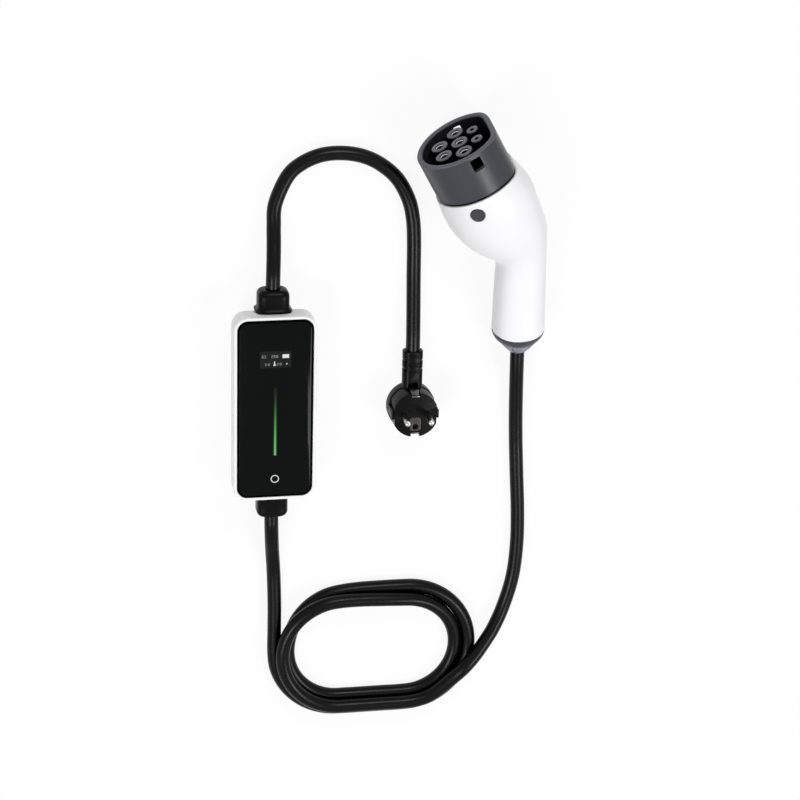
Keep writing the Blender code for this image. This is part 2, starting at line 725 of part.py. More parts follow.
def make_collar():
    """The shroud round the contacts, with its rim, spigot and lock windows, and its seal."""
    start = SHELL_REACH + COLLAR_SEAL + 2 * GAP
    tail = SHELL_REACH - SPIGOT_LENGTH
    step = SHELL_WALL + GAP - SHELL_PROUD
    rings = [collar_ring(step, tail), collar_ring(step, start), collar_ring(0, start)]
    rings += [collar_ring(inset, RIM_REACH - drop) for inset, drop in fillet(RIM_FILLET)]
    rings += [collar_ring(SHROUD_WALL - inset, RIM_REACH - drop)
              for inset, drop in reversed(fillet(RIM_FILLET))]
    rings.append(collar_ring(SHROUD_WALL, tail))
    shroud = put("connector_shroud", loft("connector_shroud", rings, closed=True), SLATE, parent=coupler)
    lock = put("lock_window", block("lock_window", (LOCK_WIDTH, SHROUD_RADIUS * 3, LOCK_LENGTH)),
               place=(LOCK_OFFSET, 0, RIM_REACH - LOCK_SETBACK - LOCK_LENGTH / 2), parent=coupler)
    boolean(shroud, [lock], "DIFFERENCE")
    base = SHELL_REACH + GAP
    rings = [collar_ring(step - GAP, base), collar_ring(step - GAP, base + COLLAR_SEAL),
             collar_ring(-GAP, base + COLLAR_SEAL), collar_ring(-GAP, base)]
    put("shroud_seal", loft("shroud_seal", rings, closed=True), RUBBER, parent=coupler)


def power_places():
    """Where the five power contacts stand, up towards the flat and across."""
    row = [(0.0, CONTACT_PITCH * step) for step in (-1, 0, 1)]
    return row + [(LOWER_ROW, CONTACT_PITCH * step) for step in (-0.5, 0.5)]


def signal_places():
    """Where the two signal contacts stand."""
    return [(UPPER_ROW, CONTACT_PITCH * step) for step in (-0.5, 0.5)]


def contact_solids(name, power_radius, signal_radius, low, high):
    """Cylinders of two sizes at all seven contact places, as cutters."""
    solids = []
    for radius, places in ((power_radius, power_places()), (signal_radius, signal_places())):
        for up, across in places:
            solids.append(put(name, rod(name, radius, high - low, CONTACT_SIDES, base=low),
                              place=(up, across, 0), parent=coupler))
    return solids


def make_contacts():
    """The grey contact block with seven towers, the carrier round them and the metal contacts."""
    tail = SHELL_REACH - SPIGOT_LENGTH
    top = RIM_REACH - TOWER_RECESS
    face = RIM_REACH - CAVITY_DEPTH
    base_top = face - CARRIER_THICKNESS - GAP
    fit = SHROUD_WALL + GAP
    base = [collar_ring(fit, tail, CONTACT_SIDES * 2), collar_ring(fit, base_top, CONTACT_SIDES * 2)]
    contact_block = put("contact_block", loft("contact_block", base), TOWER, parent=coupler)
    boolean(contact_block, contact_solids("tower", POWER_TOWER_RADIUS, SIGNAL_TOWER_RADIUS,
                                          (tail + base_top) / 2, top), "UNION")
    root = top - BORE_DEPTH
    boolean(contact_block, contact_solids("bore", POWER_BORE_RADIUS, SIGNAL_BORE_RADIUS,
                                          root, RIM_REACH), "DIFFERENCE")
    carrier = put("contact_carrier",
                  loft("contact_carrier", [collar_ring(fit, base_top + GAP), collar_ring(fit, face)]),
                  CARRIER, parent=coupler)
    boolean(carrier, contact_solids("tower_way", POWER_TOWER_RADIUS + GAP, SIGNAL_TOWER_RADIUS + GAP,
                                    tail, top), "DIFFERENCE")
    low = root + GAP
    high = top - CONTACT_RECESS
    kinds = (("power_contact", POWER_BORE_RADIUS - GAP, power_places()),
             ("signal_contact", SIGNAL_BORE_RADIUS - GAP, signal_places()))
    for kind, radius, places in kinds:
        bore = radius - CONTACT_WALL
        profile = [(radius, high), (radius, low), (0, low)]
        profile = [(0, low + CONTACT_ROOT), (bore, low + CONTACT_ROOT), (bore, high)] + profile
        for index, (up, across) in enumerate(places, 1):
            contact = turned(f"{kind}_{index}", profile, METAL, segments=16,
                             place=(up, across, 0), parent=coupler)
            slot = block("contact_slot", (radius * 3, CONTACT_SLOT, CONTACT_SLOT_LENGTH * 2))
            boolean(contact, [put("contact_slot", slot, place=(up, across, high), parent=coupler)],
                    "DIFFERENCE")


def coupler_point(up, reach):
    """A point of the connector's middle plane from its place in the coupler."""
    return (COUPLER_CENTRE + up) * FLAT_WAY + reach * COUPLER_WAY


def beside(start, end, share, swell):
    """A point at a share of the way along a line in the middle plane, set off to its left."""
    way = (end - start).normalized()
    return start.lerp(end, share) + swell * Vector((-way.y, way.x, 0))


def grip_table():
    """The sections of the grip from the cap to the collar, as rows of numbers."""
    radius = SHROUD_RADIUS + SHELL_PROUD
    belly = (Vector((-GRIP_HALF, CAP_REACH, 0)), coupler_point(-radius, SHELL_REACH))
    back = (Vector((GRIP_HALF, CAP_REACH, 0)), coupler_point(SHROUD_FLAT + SHELL_PROUD, SHELL_REACH))
    first = (0.0, 0.0, 0.0, 0.0, CAP_HALF_WIDTH, GRIP_SQUARENESS, 0.0)
    last = (1.0, 0.0, 1.0, 0.0, radius, 1.0, 1.0)
    table = []
    for belly_share, belly_swell, back_share, back_swell, *form in (first, *GRIP_SECTIONS, last):
        low = beside(*belly, belly_share, belly_swell)
        high = beside(*back, back_share, -back_swell)
        table.append((low.x, low.y, high.x, high.y, *form))
    return table


def spline_value(values, place):
    """A smooth curve through evenly numbered values, read at a place between them."""
    index = min(int(place), len(values) - 2)
    share = place - index
    before = values[max(index - 1, 0)]
    here, after = values[index], values[index + 1]
    beyond = values[min(index + 2, len(values) - 1)]
    bend = 2 * before - 5 * here + 4 * after - beyond
    curl = 3 * here - before - 3 * after + beyond
    return 0.5 * (2 * here + (after - before) * share + bend * share ** 2 + curl * share ** 3)


def grip_section(station):
    """The numbers of the grip's section at a station between 0 and 1."""
    table = grip_table()
    place = station * (len(table) - 1)
    return [spline_value([row[column] for row in table], place) for column in range(7)]


def grip_point(station, turn, shrink=0.0):
    """A point of the grip's surface, at an angle from its back, drawn in by a wall."""
    belly_x, belly_y, back_x, back_y, width, square, likeness = grip_section(station)
    belly = Vector((belly_x, belly_y, 0))
    back = Vector((back_x, back_y, 0))
    centre = (belly + back) / 2
    half = (back - belly).length / 2
    cosine, sine = math.cos(turn), math.sin(turn)
    plain_up = math.copysign(abs(cosine) ** square, cosine)
    plain_across = math.copysign(abs(sine) ** square, sine)
    radius, flat = SHROUD_RADIUS + SHELL_PROUD, SHROUD_FLAT + SHELL_PROUD
    up, across = collar_point(turn, radius, flat)
    like_up = (up + (radius - flat) / 2) / ((radius + flat) / 2)
    like_across = across / radius
    up = plain_up + (like_up - plain_up) * likeness
    across = plain_across + (like_across - plain_across) * likeness
    way = (back - belly).normalized()
    return centre + way * up * (half - shrink) + Vector((0, 0, across * (width - shrink)))


def make_shells():
    """The two moulded half shells that meet in the connector's middle plane."""
    fit = SHELL_WALL - SHELL_PROUD
    spigot = loft("spigot_way", [collar_ring(fit, SHELL_REACH - SPIGOT_LENGTH - GAP),
                                 collar_ring(fit, SHELL_REACH + SPIGOT_LENGTH)])
    cuts = [put("spigot_way", spigot, parent=coupler),
            badge_solid("badge_way", BADGE_RADIUS + GAP, BADGE_DEPTH + GAP, BADGE_DEPTH)]
    for name, sign in (("shell_left", 1), ("shell_right", -1)):
        rings = []
        for index in range(STATIONS + 1):
            station = index / STATIONS
            ring = []
            for shrink, order in ((0.0, 1), (SHELL_WALL, -1)):
                turns = [math.pi * step / HALF_POINTS for step in range(HALF_POINTS + 1)][::order]
                for turn in turns:
                    point = grip_point(station, turn, shrink)
                    point.z = sign * max(point.z, GAP / 2)
                    ring.append(point)
            rings.append(ring)
        shell = put(name, loft(name, rings), WHITE, parent=connector)
        boolean(shell, cuts if sign > 0 else cuts[:1], "DIFFERENCE")
    badge_solid("badge_plug", BADGE_RADIUS, BADGE_DEPTH, GAP, SLATE)


def badge_solid(name, radius, depth, proud, material=None):
    """A plain round plug set square into the left shell where the badge sits."""
    turn = math.radians(BADGE_TURN)
    small = 0.01
    point = grip_point(BADGE_STATION, turn)
    along = grip_point(BADGE_STATION + small, turn) - point
    round_way = grip_point(BADGE_STATION, turn + small) - point
    normal = along.cross(round_way).normalized()
    if normal.z < 0:
        normal.negate()
    made = put(name, rod(name, radius, depth + proud, 20, base=-depth), material,
               place=point, parent=connector)
    made.rotation_euler = normal.to_track_quat("Z", "Y").to_euler()
    return made


def make_cable_end():
    """The end cap, the fluted nut, the clamp and the cable's end inside the grip."""
    def ring(half, width, reach, square):
        points = []
        for index in range(SEGMENTS):
            turn = math.tau * index / SEGMENTS
            cosine, sine = math.cos(turn), math.sin(turn)
            points.append(Vector((half * math.copysign(abs(cosine) ** square, cosine), reach,
                                  width * math.copysign(abs(sine) ** square, sine))))
        return points
    fit = SHELL_WALL + GAP
    start = CAP_REACH - GAP
    spigot = CAP_REACH + CAP_SPIGOT
    depth = start - NUT_REACH
    rings = [ring(CAP_BORE, CAP_BORE, NUT_REACH, 1.0), ring(NUT_RADIUS, NUT_RADIUS, NUT_REACH, 1.0)]
    for share in (0.25, 0.5, 0.75, 1.0):
        swell = math.sin(math.radians(90 * share)) ** 0.8
        rings.append(ring(NUT_RADIUS + (GRIP_HALF - NUT_RADIUS) * swell,
                          NUT_RADIUS + (CAP_HALF_WIDTH - NUT_RADIUS) * swell,
                          NUT_REACH + depth * share, 1.0 + (GRIP_SQUARENESS - 1.0) * share))
    rings.append(ring(GRIP_HALF - fit, CAP_HALF_WIDTH - fit, start, GRIP_SQUARENESS))
    rings.append(ring(GRIP_HALF - fit, CAP_HALF_WIDTH - fit, spigot, GRIP_SQUARENESS))
    rings.append(ring(CAP_BORE, CAP_BORE, spigot, 1.0))
    put("end_cap", loft("end_cap", rings, closed=True), SLATE, parent=connector)

    bore = CABLE_DIAMETER / 2 + GAP
    stem = CAP_BORE - GAP
    face = NUT_REACH - GAP
    middle = (NUT_RADIUS + NUT_TIP_RADIUS) / 2
    profile = [(bore, spigot), (stem, spigot), (stem, face), (NUT_RADIUS, face),
               (middle + GAP * 2, face / 2), (NUT_TIP_RADIUS, 0), (bore, 0)]
    nut = turned("cable_nut", profile, SLATE, segments=NUT_FLUTES * 3, turn=(-90, 0, 0),
                 parent=connector)
    for index in range(NUT_FLUTES):
        angle = math.tau * (index + 0.5) / NUT_FLUTES
        place = (NUT_RADIUS * math.cos(angle), 0, NUT_RADIUS * math.sin(angle))
        flute = put("nut_flute", rod("nut_flute", NUT_FLUTE_RADIUS, NUT_REACH * 4, 9), place=place,
                    turn=(-90, 0, 0), parent=connector)
        flute.location.y = -NUT_REACH * 2.5
        boolean(nut, [flute], "DIFFERENCE")
    clamp_ring = [(CLAMP_RADIUS, CLAMP_REACH), (CLAMP_RADIUS, CLAMP_REACH - CLAMP_LENGTH),
                  (bore, CLAMP_REACH - CLAMP_LENGTH), (bore, CLAMP_REACH)]
    turned("cable_clamp", clamp_ring, METAL, turn=(-90, 0, 0), parent=connector)
    put("cable_end", rod("cable_end", CABLE_DIAMETER / 2, CLAMP_REACH, 12), JACKET,
        turn=(-90, 0, 0), parent=connector)


def make_core_wires():
    """The five power cores from the cable's end to the back of the contact block."""
    tail = SHELL_REACH - SPIGOT_LENGTH - GAP
    for index, (up, across) in enumerate(power_places(), 1):
        end = coupler_point(up, tail)
        end.z = -across
        angle = math.atan2(end.z, up - LOWER_ROW / 4)
        start = Vector((CORE_CIRCLE * math.cos(angle), CLAMP_REACH + GAP, CORE_CIRCLE * math.sin(angle)))
        pull = (end - start).length / 3
        points = interpolate_bezier(start, start + Vector((0, pull, 0)),
                                    end - pull * COUPLER_WAY, end, 9)
        tube(f"core_wire_{index}", points, CORE_RADIUS, COPPER, resolution=1, parent=connector)


# Mains plug

def plug_ring(radius, height, flat, reach=0.0, count=36):
    """The plug's round outline with a flat on either side, and guides that stand on the flats."""
    points = []
    for index in range(count):
        angle = math.tau * (index + 0.5) / count
        x = radius * math.cos(angle)
        y = radius * math.sin(angle)
        x = math.copysign(min(abs(x), flat), x)
        points.append(Vector((x, y, height)))
    return points


def make_plug():
    """The moulded angled plug: round back, face part with flats and guides, ribbed relief."""
    plug = empty("plug_frame", (*PLUG_PLACE, 0), (0, 0, 0))
    flat = PLUG_BACK_RADIUS
    rings = [plug_ring(PLUG_BACK_RADIUS - inset, drop, flat)
             for inset, drop in reversed(fillet(PLUG_BACK_FILLET))]
    rings += [plug_ring(PLUG_BACK_RADIUS, PLUG_BACK, flat), plug_ring(PLUG_RADIUS, PLUG_BACK, PLUG_FLAT)]
    rings += [plug_ring(PLUG_RADIUS - inset, PLUG_HEIGHT - drop, PLUG_FLAT - inset)
              for inset, drop in fillet(GAP * 3, 2)]
    body = put("plug_body", loft("plug_body", rings), RUBBER, parent=plug)
    guide = block("plug_guide", (GUIDE_REACH * 2, GUIDE_WIDTH, PLUG_HEIGHT - PLUG_BACK))
    guide_place = (0, 0, (PLUG_HEIGHT + PLUG_BACK) / 2 - GAP * 3)
    boolean(body, [put("plug_guide", guide, place=guide_place, parent=plug),
                   plug_relief(plug)], "UNION")
    cuts = []
    for sign in (1, -1):
        channel = block("earth_channel", (EARTH_WIDTH + 2 * GAP, EARTH_CHANNEL * 2, PLUG_HEIGHT))
        cuts.append(put("earth_channel", channel, parent=plug,
                        place=(0, sign * PLUG_RADIUS, PLUG_BACK + PLUG_HEIGHT / 2)))
        x = sign * PIN_PITCH / 2
        cuts.append(put("pin_way", rod("pin_way", PIN_RADIUS + GAP, PLUG_HEIGHT, 20),
                        place=(x, 0, PLUG_HEIGHT - PIN_ROOT), parent=plug))
    pocket = plate("socket_way", [rounded_rectangle(SOCKET_WIDTH + 2 * GAP, SOCKET_LENGTH + 2 * GAP,
                                                    SOCKET_WIDTH / 4)], SOCKET_DEPTH * 2,
                   place=(0, SOCKET_Y, PLUG_HEIGHT), parent=plug)
    boolean(body, cuts + [pocket], "DIFFERENCE")

    low = PLUG_HEIGHT - PIN_ROOT + GAP
    tip = PLUG_HEIGHT + PIN_LENGTH
    profile = [(0, tip)]
    for inset, drop in reversed(fillet(PIN_RADIUS * 0.7)):
        profile.append((PIN_RADIUS - inset, tip - drop))
    profile += [(PIN_RADIUS, low), (0, low)]
    for index, sign in enumerate((-1, 1), 1):
        turned(f"plug_pin_{index}", profile, METAL, segments=20, parent=plug,
               place=(sign * PIN_PITCH / 2, 0, 0))
    make_earth_parts(plug)


def plug_relief(plug):
    """The ribbed strain relief, turned about the cable's way into the plug."""
    pitch = RELIEF_RIB + RELIEF_GROOVE
    profile = [(0, RELIEF_REACH)]
    height = RELIEF_REACH
    for index in range(RELIEF_RIBS):
        share = index / max(RELIEF_RIBS - 1, 1)
        rib = RELIEF_RADIUS - (1 - share) * (RELIEF_RADIUS - RELIEF_CORE) * 0.5
        profile += [(rib, height), (rib, height - RELIEF_RIB), (RELIEF_CORE, height - RELIEF_RIB),
                    (RELIEF_CORE, height - pitch)]
        height -= pitch
    profile += [(RELIEF_RADIUS, height), (RELIEF_RADIUS, PLUG_RADIUS / 2), (0, PLUG_RADIUS / 2)]
    return turned("relief", profile, segments=20, place=(0, 0, RELIEF_HEIGHT), turn=(-90, 0, 0),
                  parent=plug)


def make_earth_parts(plug):
    """The two side springs and the socket that carry the earth."""
    low = PLUG_BACK + GAP
    high = PLUG_HEIGHT - GAP
    inner = PLUG_RADIUS - EARTH_CHANNEL + GAP
    bulge = EARTH_CHANNEL * 0.75
    steps = 8
    face = []
    for step in range(steps + 1):
        share = step / steps
        face.append((inner + EARTH_STRIP + bulge * math.sin(math.pi * share) ** 2,
                     low + (high - low) * share))
    back = [(y - EARTH_STRIP, z) for y, z in reversed(face)]
    for name, sign in (("earth_clip_near", 1), ("earth_clip_far", -1)):
        outline = [(sign * y, z) for y, z in face + back]
        plate(name, [outline], EARTH_WIDTH, METAL, turn=(90, 0, 90), parent=plug)
    depth = SOCKET_DEPTH - GAP
    socket = plate("earth_socket", [rounded_rectangle(SOCKET_WIDTH, SOCKET_LENGTH, SOCKET_WIDTH / 4)],
                   depth, TOWER, place=(0, SOCKET_Y, PLUG_HEIGHT - depth / 2), parent=plug)
    hole = put("socket_hole", rod("socket_hole", SOCKET_HOLE_RADIUS, SOCKET_DEPTH * 2, 16),
               place=(0, SOCKET_HOLE_Y, PLUG_HEIGHT - depth + CONTACT_ROOT), parent=plug)
    boolean(socket, [hole], "DIFFERENCE")


# Leads

def smooth_route(points, step):
    """Evenly spaced points along a smooth curve through the given ones, with both ends kept."""
    places = [Vector(point) for point in points]
    fine = []
    parts_between = 16
    count = len(places) - 1
    for index in range(count * parts_between + 1):
        place = index / parts_between
        point = Vector([spline_value([point[axis] for point in places], place) for axis in range(3)])
        point.z = max(point.z, FLOOR_LINE)
        fine.append(point)
    lengths = [0.0]
    for first, second in zip(fine, fine[1:]):
        lengths.append(lengths[-1] + (second - first).length)
    total = lengths[-1]
    runs = max(round(total / step), 2)
    route = []
    at = 0
    for index in range(runs + 1):
        wanted = total * index / runs
        while at < len(lengths) - 2 and lengths[at + 1] < wanted:
            at += 1
        share = (wanted - lengths[at]) / (lengths[at + 1] - lengths[at])
        route.append(fine[at].lerp(fine[at + 1], min(max(share, 0.0), 1.0)))
    return route


def lead_route(start, start_way, points, end, end_way):
    """A lead's centre line that meets both its end faces squarely."""
    start, end = Vector(start), Vector(end)
    inner_start = start + Vector(start_way) * SQUARE_RUN
    inner_end = end - Vector(end_way) * SQUARE_RUN
    route = smooth_route([inner_start, *points, inner_end], LEAD_STEP * CABLE_DIAMETER)
    return [start, *route, end]


def make_coil():
    """The plain solid of the coiled stretch, with a stub where the lead enters and leaves."""
    radius = CABLE_DIAMETER / 2
    outer = COIL_TURN_RADIUS + radius
    inner = COIL_TURN_RADIUS + radius - COIL_TURNS * CABLE_DIAMETER
    centre = Vector((*COIL_CENTRE, COIL_HEIGHT / 2))
    coil = plate("vehicle_lead_coil", [stadium(COIL_HALF_RUN, outer), stadium(COIL_HALF_RUN, inner)],
                 COIL_HEIGHT, JACKET, place=centre)
    entry = block("coil_entry", (CABLE_DIAMETER, COIL_ENTRY_RISE, COIL_HEIGHT))
    entry_place = centre + Vector((-COIL_HALF_RUN - COIL_TURN_RADIUS, COIL_ENTRY_RISE / 2, 0))
    heading = math.radians(COIL_EXIT_HEADING)
    way = Vector((math.cos(heading), math.sin(heading), 0))
    leave = block("coil_exit", (COIL_STUB, CABLE_DIAMETER, COIL_HEIGHT))
    leave_place = Vector((*COIL_EXIT, COIL_HEIGHT / 2)) - way * COIL_STUB / 2
    boolean(coil, [put("coil_entry", entry, place=entry_place),
                   put("coil_exit", leave, place=leave_place, turn=(0, 0, COIL_EXIT_HEADING))], "UNION")
    return way


def make_leads(way):
    """The uncoiled stretches of the mains lead and of the vehicle lead."""
    radius = CABLE_DIAMETER / 2
    half = BOX_LENGTH / 2
    upper = (0, half + UPPER_BOOT_LENGTH + GAP, SEAM_HEIGHT)
    relief = (PLUG_PLACE[0], PLUG_PLACE[1] + RELIEF_REACH + GAP, RELIEF_HEIGHT)
    tube("mains_lead", lead_route(upper, (0, 1, 0), MAINS_ROUTE, relief, (0, -1, 0)), radius, JACKET)
    lower = (0, -half - LOWER_BOOT_LENGTH - GAP, SEAM_HEIGHT)
    entry = (COIL_CENTRE[0] - COIL_HALF_RUN - COIL_TURN_RADIUS,
             COIL_CENTRE[1] + COIL_ENTRY_RISE + GAP, FLOOR_LINE)
    tube("vehicle_lead_box_side", lead_route(lower, (0, -1, 0), BOX_SIDE_ROUTE, entry, (0, -1, 0)),
         radius, JACKET)
    turn = Euler((math.radians(CONNECTOR_PITCH), 0, math.radians(CONNECTOR_YAW)))
    grip_way = turn.to_matrix() @ Vector((0, 1, 0))
    nut = Vector(CONNECTOR_PLACE) - grip_way * GAP
    leave = Vector((*COIL_EXIT, COIL_EXIT_LINE)) + way * GAP
    tube("vehicle_lead_connector_side", lead_route(nut, -grip_way, CONNECTOR_SIDE_ROUTE, leave, -way),
         radius, JACKET)


make_housings()
make_screws()
make_boot("upper_cable_boot", UPPER_BOOT_LENGTH, 1)
make_boot("lower_cable_boot", LOWER_BOOT_LENGTH, -1)
make_glass()
make_board()
make_collar()
make_contacts()
make_shells()
make_cable_end()
make_core_wires()
make_plug()
make_leads(make_coil())
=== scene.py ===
"""Render scene of a portable charging cable: mains plug, control box and vehicle connector.

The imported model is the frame. This script dresses it with finer pieces, cords and finishes,
and sets the floor, the light and the camera. All lengths are in metres.
"""

from __future__ import annotations

import functools
import logging
import math
from collections.abc import Callable, Sequence
from dataclasses import dataclass, field
from enum import Enum

import bmesh
import bpy
from mathutils import Euler, Matrix, Vector

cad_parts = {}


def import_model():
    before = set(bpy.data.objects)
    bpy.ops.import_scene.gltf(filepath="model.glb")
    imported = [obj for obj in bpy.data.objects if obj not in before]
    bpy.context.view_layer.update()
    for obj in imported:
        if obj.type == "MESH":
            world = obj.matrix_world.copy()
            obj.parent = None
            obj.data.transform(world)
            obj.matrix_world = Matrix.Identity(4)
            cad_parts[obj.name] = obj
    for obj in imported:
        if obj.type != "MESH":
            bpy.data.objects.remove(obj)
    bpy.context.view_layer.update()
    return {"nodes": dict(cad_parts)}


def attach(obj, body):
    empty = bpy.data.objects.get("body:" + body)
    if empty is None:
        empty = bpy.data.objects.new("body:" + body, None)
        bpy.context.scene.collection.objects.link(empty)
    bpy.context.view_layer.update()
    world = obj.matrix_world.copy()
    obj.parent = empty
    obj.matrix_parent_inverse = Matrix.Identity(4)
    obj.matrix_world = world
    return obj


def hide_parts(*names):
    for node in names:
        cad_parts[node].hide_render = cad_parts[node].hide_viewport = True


log = logging.getLogger("charging_cable")

BODY = "root"
FIT = 0.0003
WELD = 0.000002
NEAR = 0.00001
CUTTER = 0.04
CABLE = 0.0115
LYING = CABLE / 2 + 0.00005

Colour = tuple[float, float, float]
Profile = list[tuple[float, float]]
Test = Callable[[Vector], bool]
Piece = bpy.types.Object
Tree = bpy.types.NodeTree
Socket = bpy.types.NodeSocket


# Finishes


class Ray(Enum):
    """The kinds of ray that see the plain white background."""

    CAMERA = "Is Camera Ray"
    GLOSSY = "Is Glossy Ray"
    TRANSMISSION = "Is Transmission Ray"


def shader_of(name: str) -> tuple[bpy.types.Material, Tree, bpy.types.Node]:
    """Start a node material.

    Args:
        name: The material's name.

    Returns:
        The material, its node tree and its Principled shader.
    """
    made = bpy.data.materials.new(name)
    made.use_nodes = True
    return made, made.node_tree, made.node_tree.nodes["Principled BSDF"]


def noise(tree: Tree, scale: float, detail: float = 2.0) -> Socket:
    """Add a noise pattern on object coordinates.

    Args:
        tree: The tree to add to.
        scale: Cells per metre.
        detail: How many finer layers it has.

    Returns:
        The pattern's socket.
    """
    place = tree.nodes.new("ShaderNodeTexCoord")
    made = tree.nodes.new("ShaderNodeTexNoise")
    made.inputs["Scale"].default_value = scale
    made.inputs["Detail"].default_value = detail
    tree.links.new(place.outputs["Object"], made.inputs["Vector"])
    return made.outputs["Fac"]


def spread(tree: Tree, source: Socket, low: float, high: float) -> Socket:
    """Map the middle span of a noise pattern onto a range.

    Args:
        tree: The tree to add to.
        source: The pattern to map.
        low: The value given where the pattern is low.
        high: The value given where the pattern is high.

    Returns:
        The mapped value's socket.
    """
    made = tree.nodes.new("ShaderNodeMapRange")
    limits = {"From Min": 0.3, "From Max": 0.7, "To Min": low, "To Max": high}
    for socket, value in limits.items():
        made.inputs[socket].default_value = value
    tree.links.new(source, made.inputs["Value"])
    return made.outputs["Result"]


def blend(tree: Tree, share: Socket, first: Colour, second: Colour) -> Socket:
    """Mix two colours by a share.

    Args:
        tree: The tree to add to.
        share: 0 for the first colour, 1 for the second.
        first: The first colour.
        second: The second colour.

    Returns:
        The mixed colour's socket.
    """
    made = tree.nodes.new("ShaderNodeMixRGB")
    made.inputs["Color1"].default_value = (*first, 1)
    made.inputs["Color2"].default_value = (*second, 1)
    tree.links.new(share, made.inputs["Fac"])
    return made.outputs["Color"]


def emboss(tree: Tree, shader: bpy.types.Node, pattern: Socket, strength: float, depth: float) -> None:
    """Raise a shader's surface by a pattern.

    Args:
        tree: The tree to add to.
        shader: The shader whose surface is raised.
        pattern: The pattern of heights.
        strength: How much the light turns with it.
        depth: The pattern's height.
    """
    made = tree.nodes.new("ShaderNodeBump")
    made.inputs["Strength"].default_value = strength
    made.inputs["Distance"].default_value = depth
    tree.links.new(pattern, made.inputs["Height"])
    tree.links.new(made.outputs["Normal"], shader.inputs["Normal"])


@dataclass(frozen=True)
class Moulding:
    """A moulded plastic or rubber with a fine grain and a slightly uneven tone."""

    name: str
    colour: Colour
    roughness: float
    grain: float = 0.00035
    relief: float = 0.06
    mottle: float = 0.03
    specular: float = 0.5

    TONE_SCALE = 45
    POLISH_SCALE = 160
    POLISH_CHANGE = 0.08

    def material(self) -> bpy.types.Material:
        """Build the node material.

        Returns:
            The material.
        """
        made, tree, shader = shader_of(self.name)
        darker, lighter = [tuple(min(c * (1 + change), 1) for c in self.colour)
                           for change in (-self.mottle, self.mottle)]
        tone = blend(tree, noise(tree, self.TONE_SCALE), darker, lighter)
        tree.links.new(tone, shader.inputs["Base Color"])
        low, high = [self.roughness * (1 + change) for change in (-self.POLISH_CHANGE, self.POLISH_CHANGE)]
        rough = spread(tree, noise(tree, self.POLISH_SCALE, 3), low, high)
        tree.links.new(rough, shader.inputs["Roughness"])
        emboss(tree, shader, noise(tree, 1 / self.grain, 1), self.relief, self.grain / 4)
        shader.inputs["Specular IOR Level"].default_value = self.specular
        return made


@dataclass(frozen=True)
class Metal:
    """A plated or bare metal with fine turning marks."""

    name: str
    colour: Colour
    roughness: float

    MARK_SCALE = 900
    MARK_DEPTH = 0.00004
    MARK_STRENGTH = 0.05

    def material(self) -> bpy.types.Material:
        """Build the node material.

        Returns:
            The material.
        """
        made, tree, shader = shader_of(self.name)
        shader.inputs["Base Color"].default_value = (*self.colour, 1)
        shader.inputs["Metallic"].default_value = 1.0
        marks = noise(tree, self.MARK_SCALE, 4)
        rough = spread(tree, marks, self.roughness * 0.8, self.roughness * 1.3)
        tree.links.new(rough, shader.inputs["Roughness"])
        emboss(tree, shader, marks, self.MARK_STRENGTH, self.MARK_DEPTH)
        return made


@dataclass(frozen=True)
class Gloss:
    """A black glass or a smoked window, faintly uneven under its polish."""

    name: str
    colour: Colour
    specular: float

    SMEAR_SCALE = 38
    SMEARS = (0.06, 0.14)

    def material(self) -> bpy.types.Material:
        """Build the node material.

        Returns:
            The material.
        """
        made, tree, shader = shader_of(self.name)
        shader.inputs["Base Color"].default_value = (*self.colour, 1)
        shader.inputs["Specular IOR Level"].default_value = self.specular
        smears = spread(tree, noise(tree, self.SMEAR_SCALE, 4), *self.SMEARS)
        tree.links.new(smears, shader.inputs["Roughness"])
        return made


@dataclass(frozen=True)
class Glow:
    """A lit print or light bar that brightens from one end to the other along Y."""

    name: str
    dim: Colour
    bright: Colour
    start: float = -1.0
    end: float = 1.0

    UNLIT = (0.01, 0.012, 0.01)

    def material(self) -> bpy.types.Material:
        """Build the node material.

        Returns:
            The material.
        """
        made, tree, shader = shader_of(self.name)
        place = tree.nodes.new("ShaderNodeTexCoord")
        split = tree.nodes.new("ShaderNodeSeparateXYZ")
        ramp = tree.nodes.new("ShaderNodeMapRange")
        ramp.interpolation_type = "SMOOTHSTEP"
        ramp.inputs["From Min"].default_value = self.start
        ramp.inputs["From Max"].default_value = self.end
        tree.links.new(place.outputs["Object"], split.inputs["Vector"])
        tree.links.new(split.outputs["Y"], ramp.inputs["Value"])
        tone = blend(tree, ramp.outputs["Result"], self.dim, self.bright)
        tree.links.new(tone, shader.inputs["Emission Color"])
        shader.inputs["Emission Strength"].default_value = 1.0
        shader.inputs["Base Color"].default_value = (*self.UNLIT, 1)
        shader.inputs["Roughness"].default_value = 0.3
        shader.inputs["Specular IOR Level"].default_value = 0.05
        return made


Finish = Moulding | Metal | Gloss | Glow


@functools.cache
def material_of(finish: Finish) -> bpy.types.Material:
    """The material of a finish, built at the first call."""
    return finish.material()


PALE = (0.74, 0.76, 0.78)
FAINT = (0.27, 0.28, 0.29)


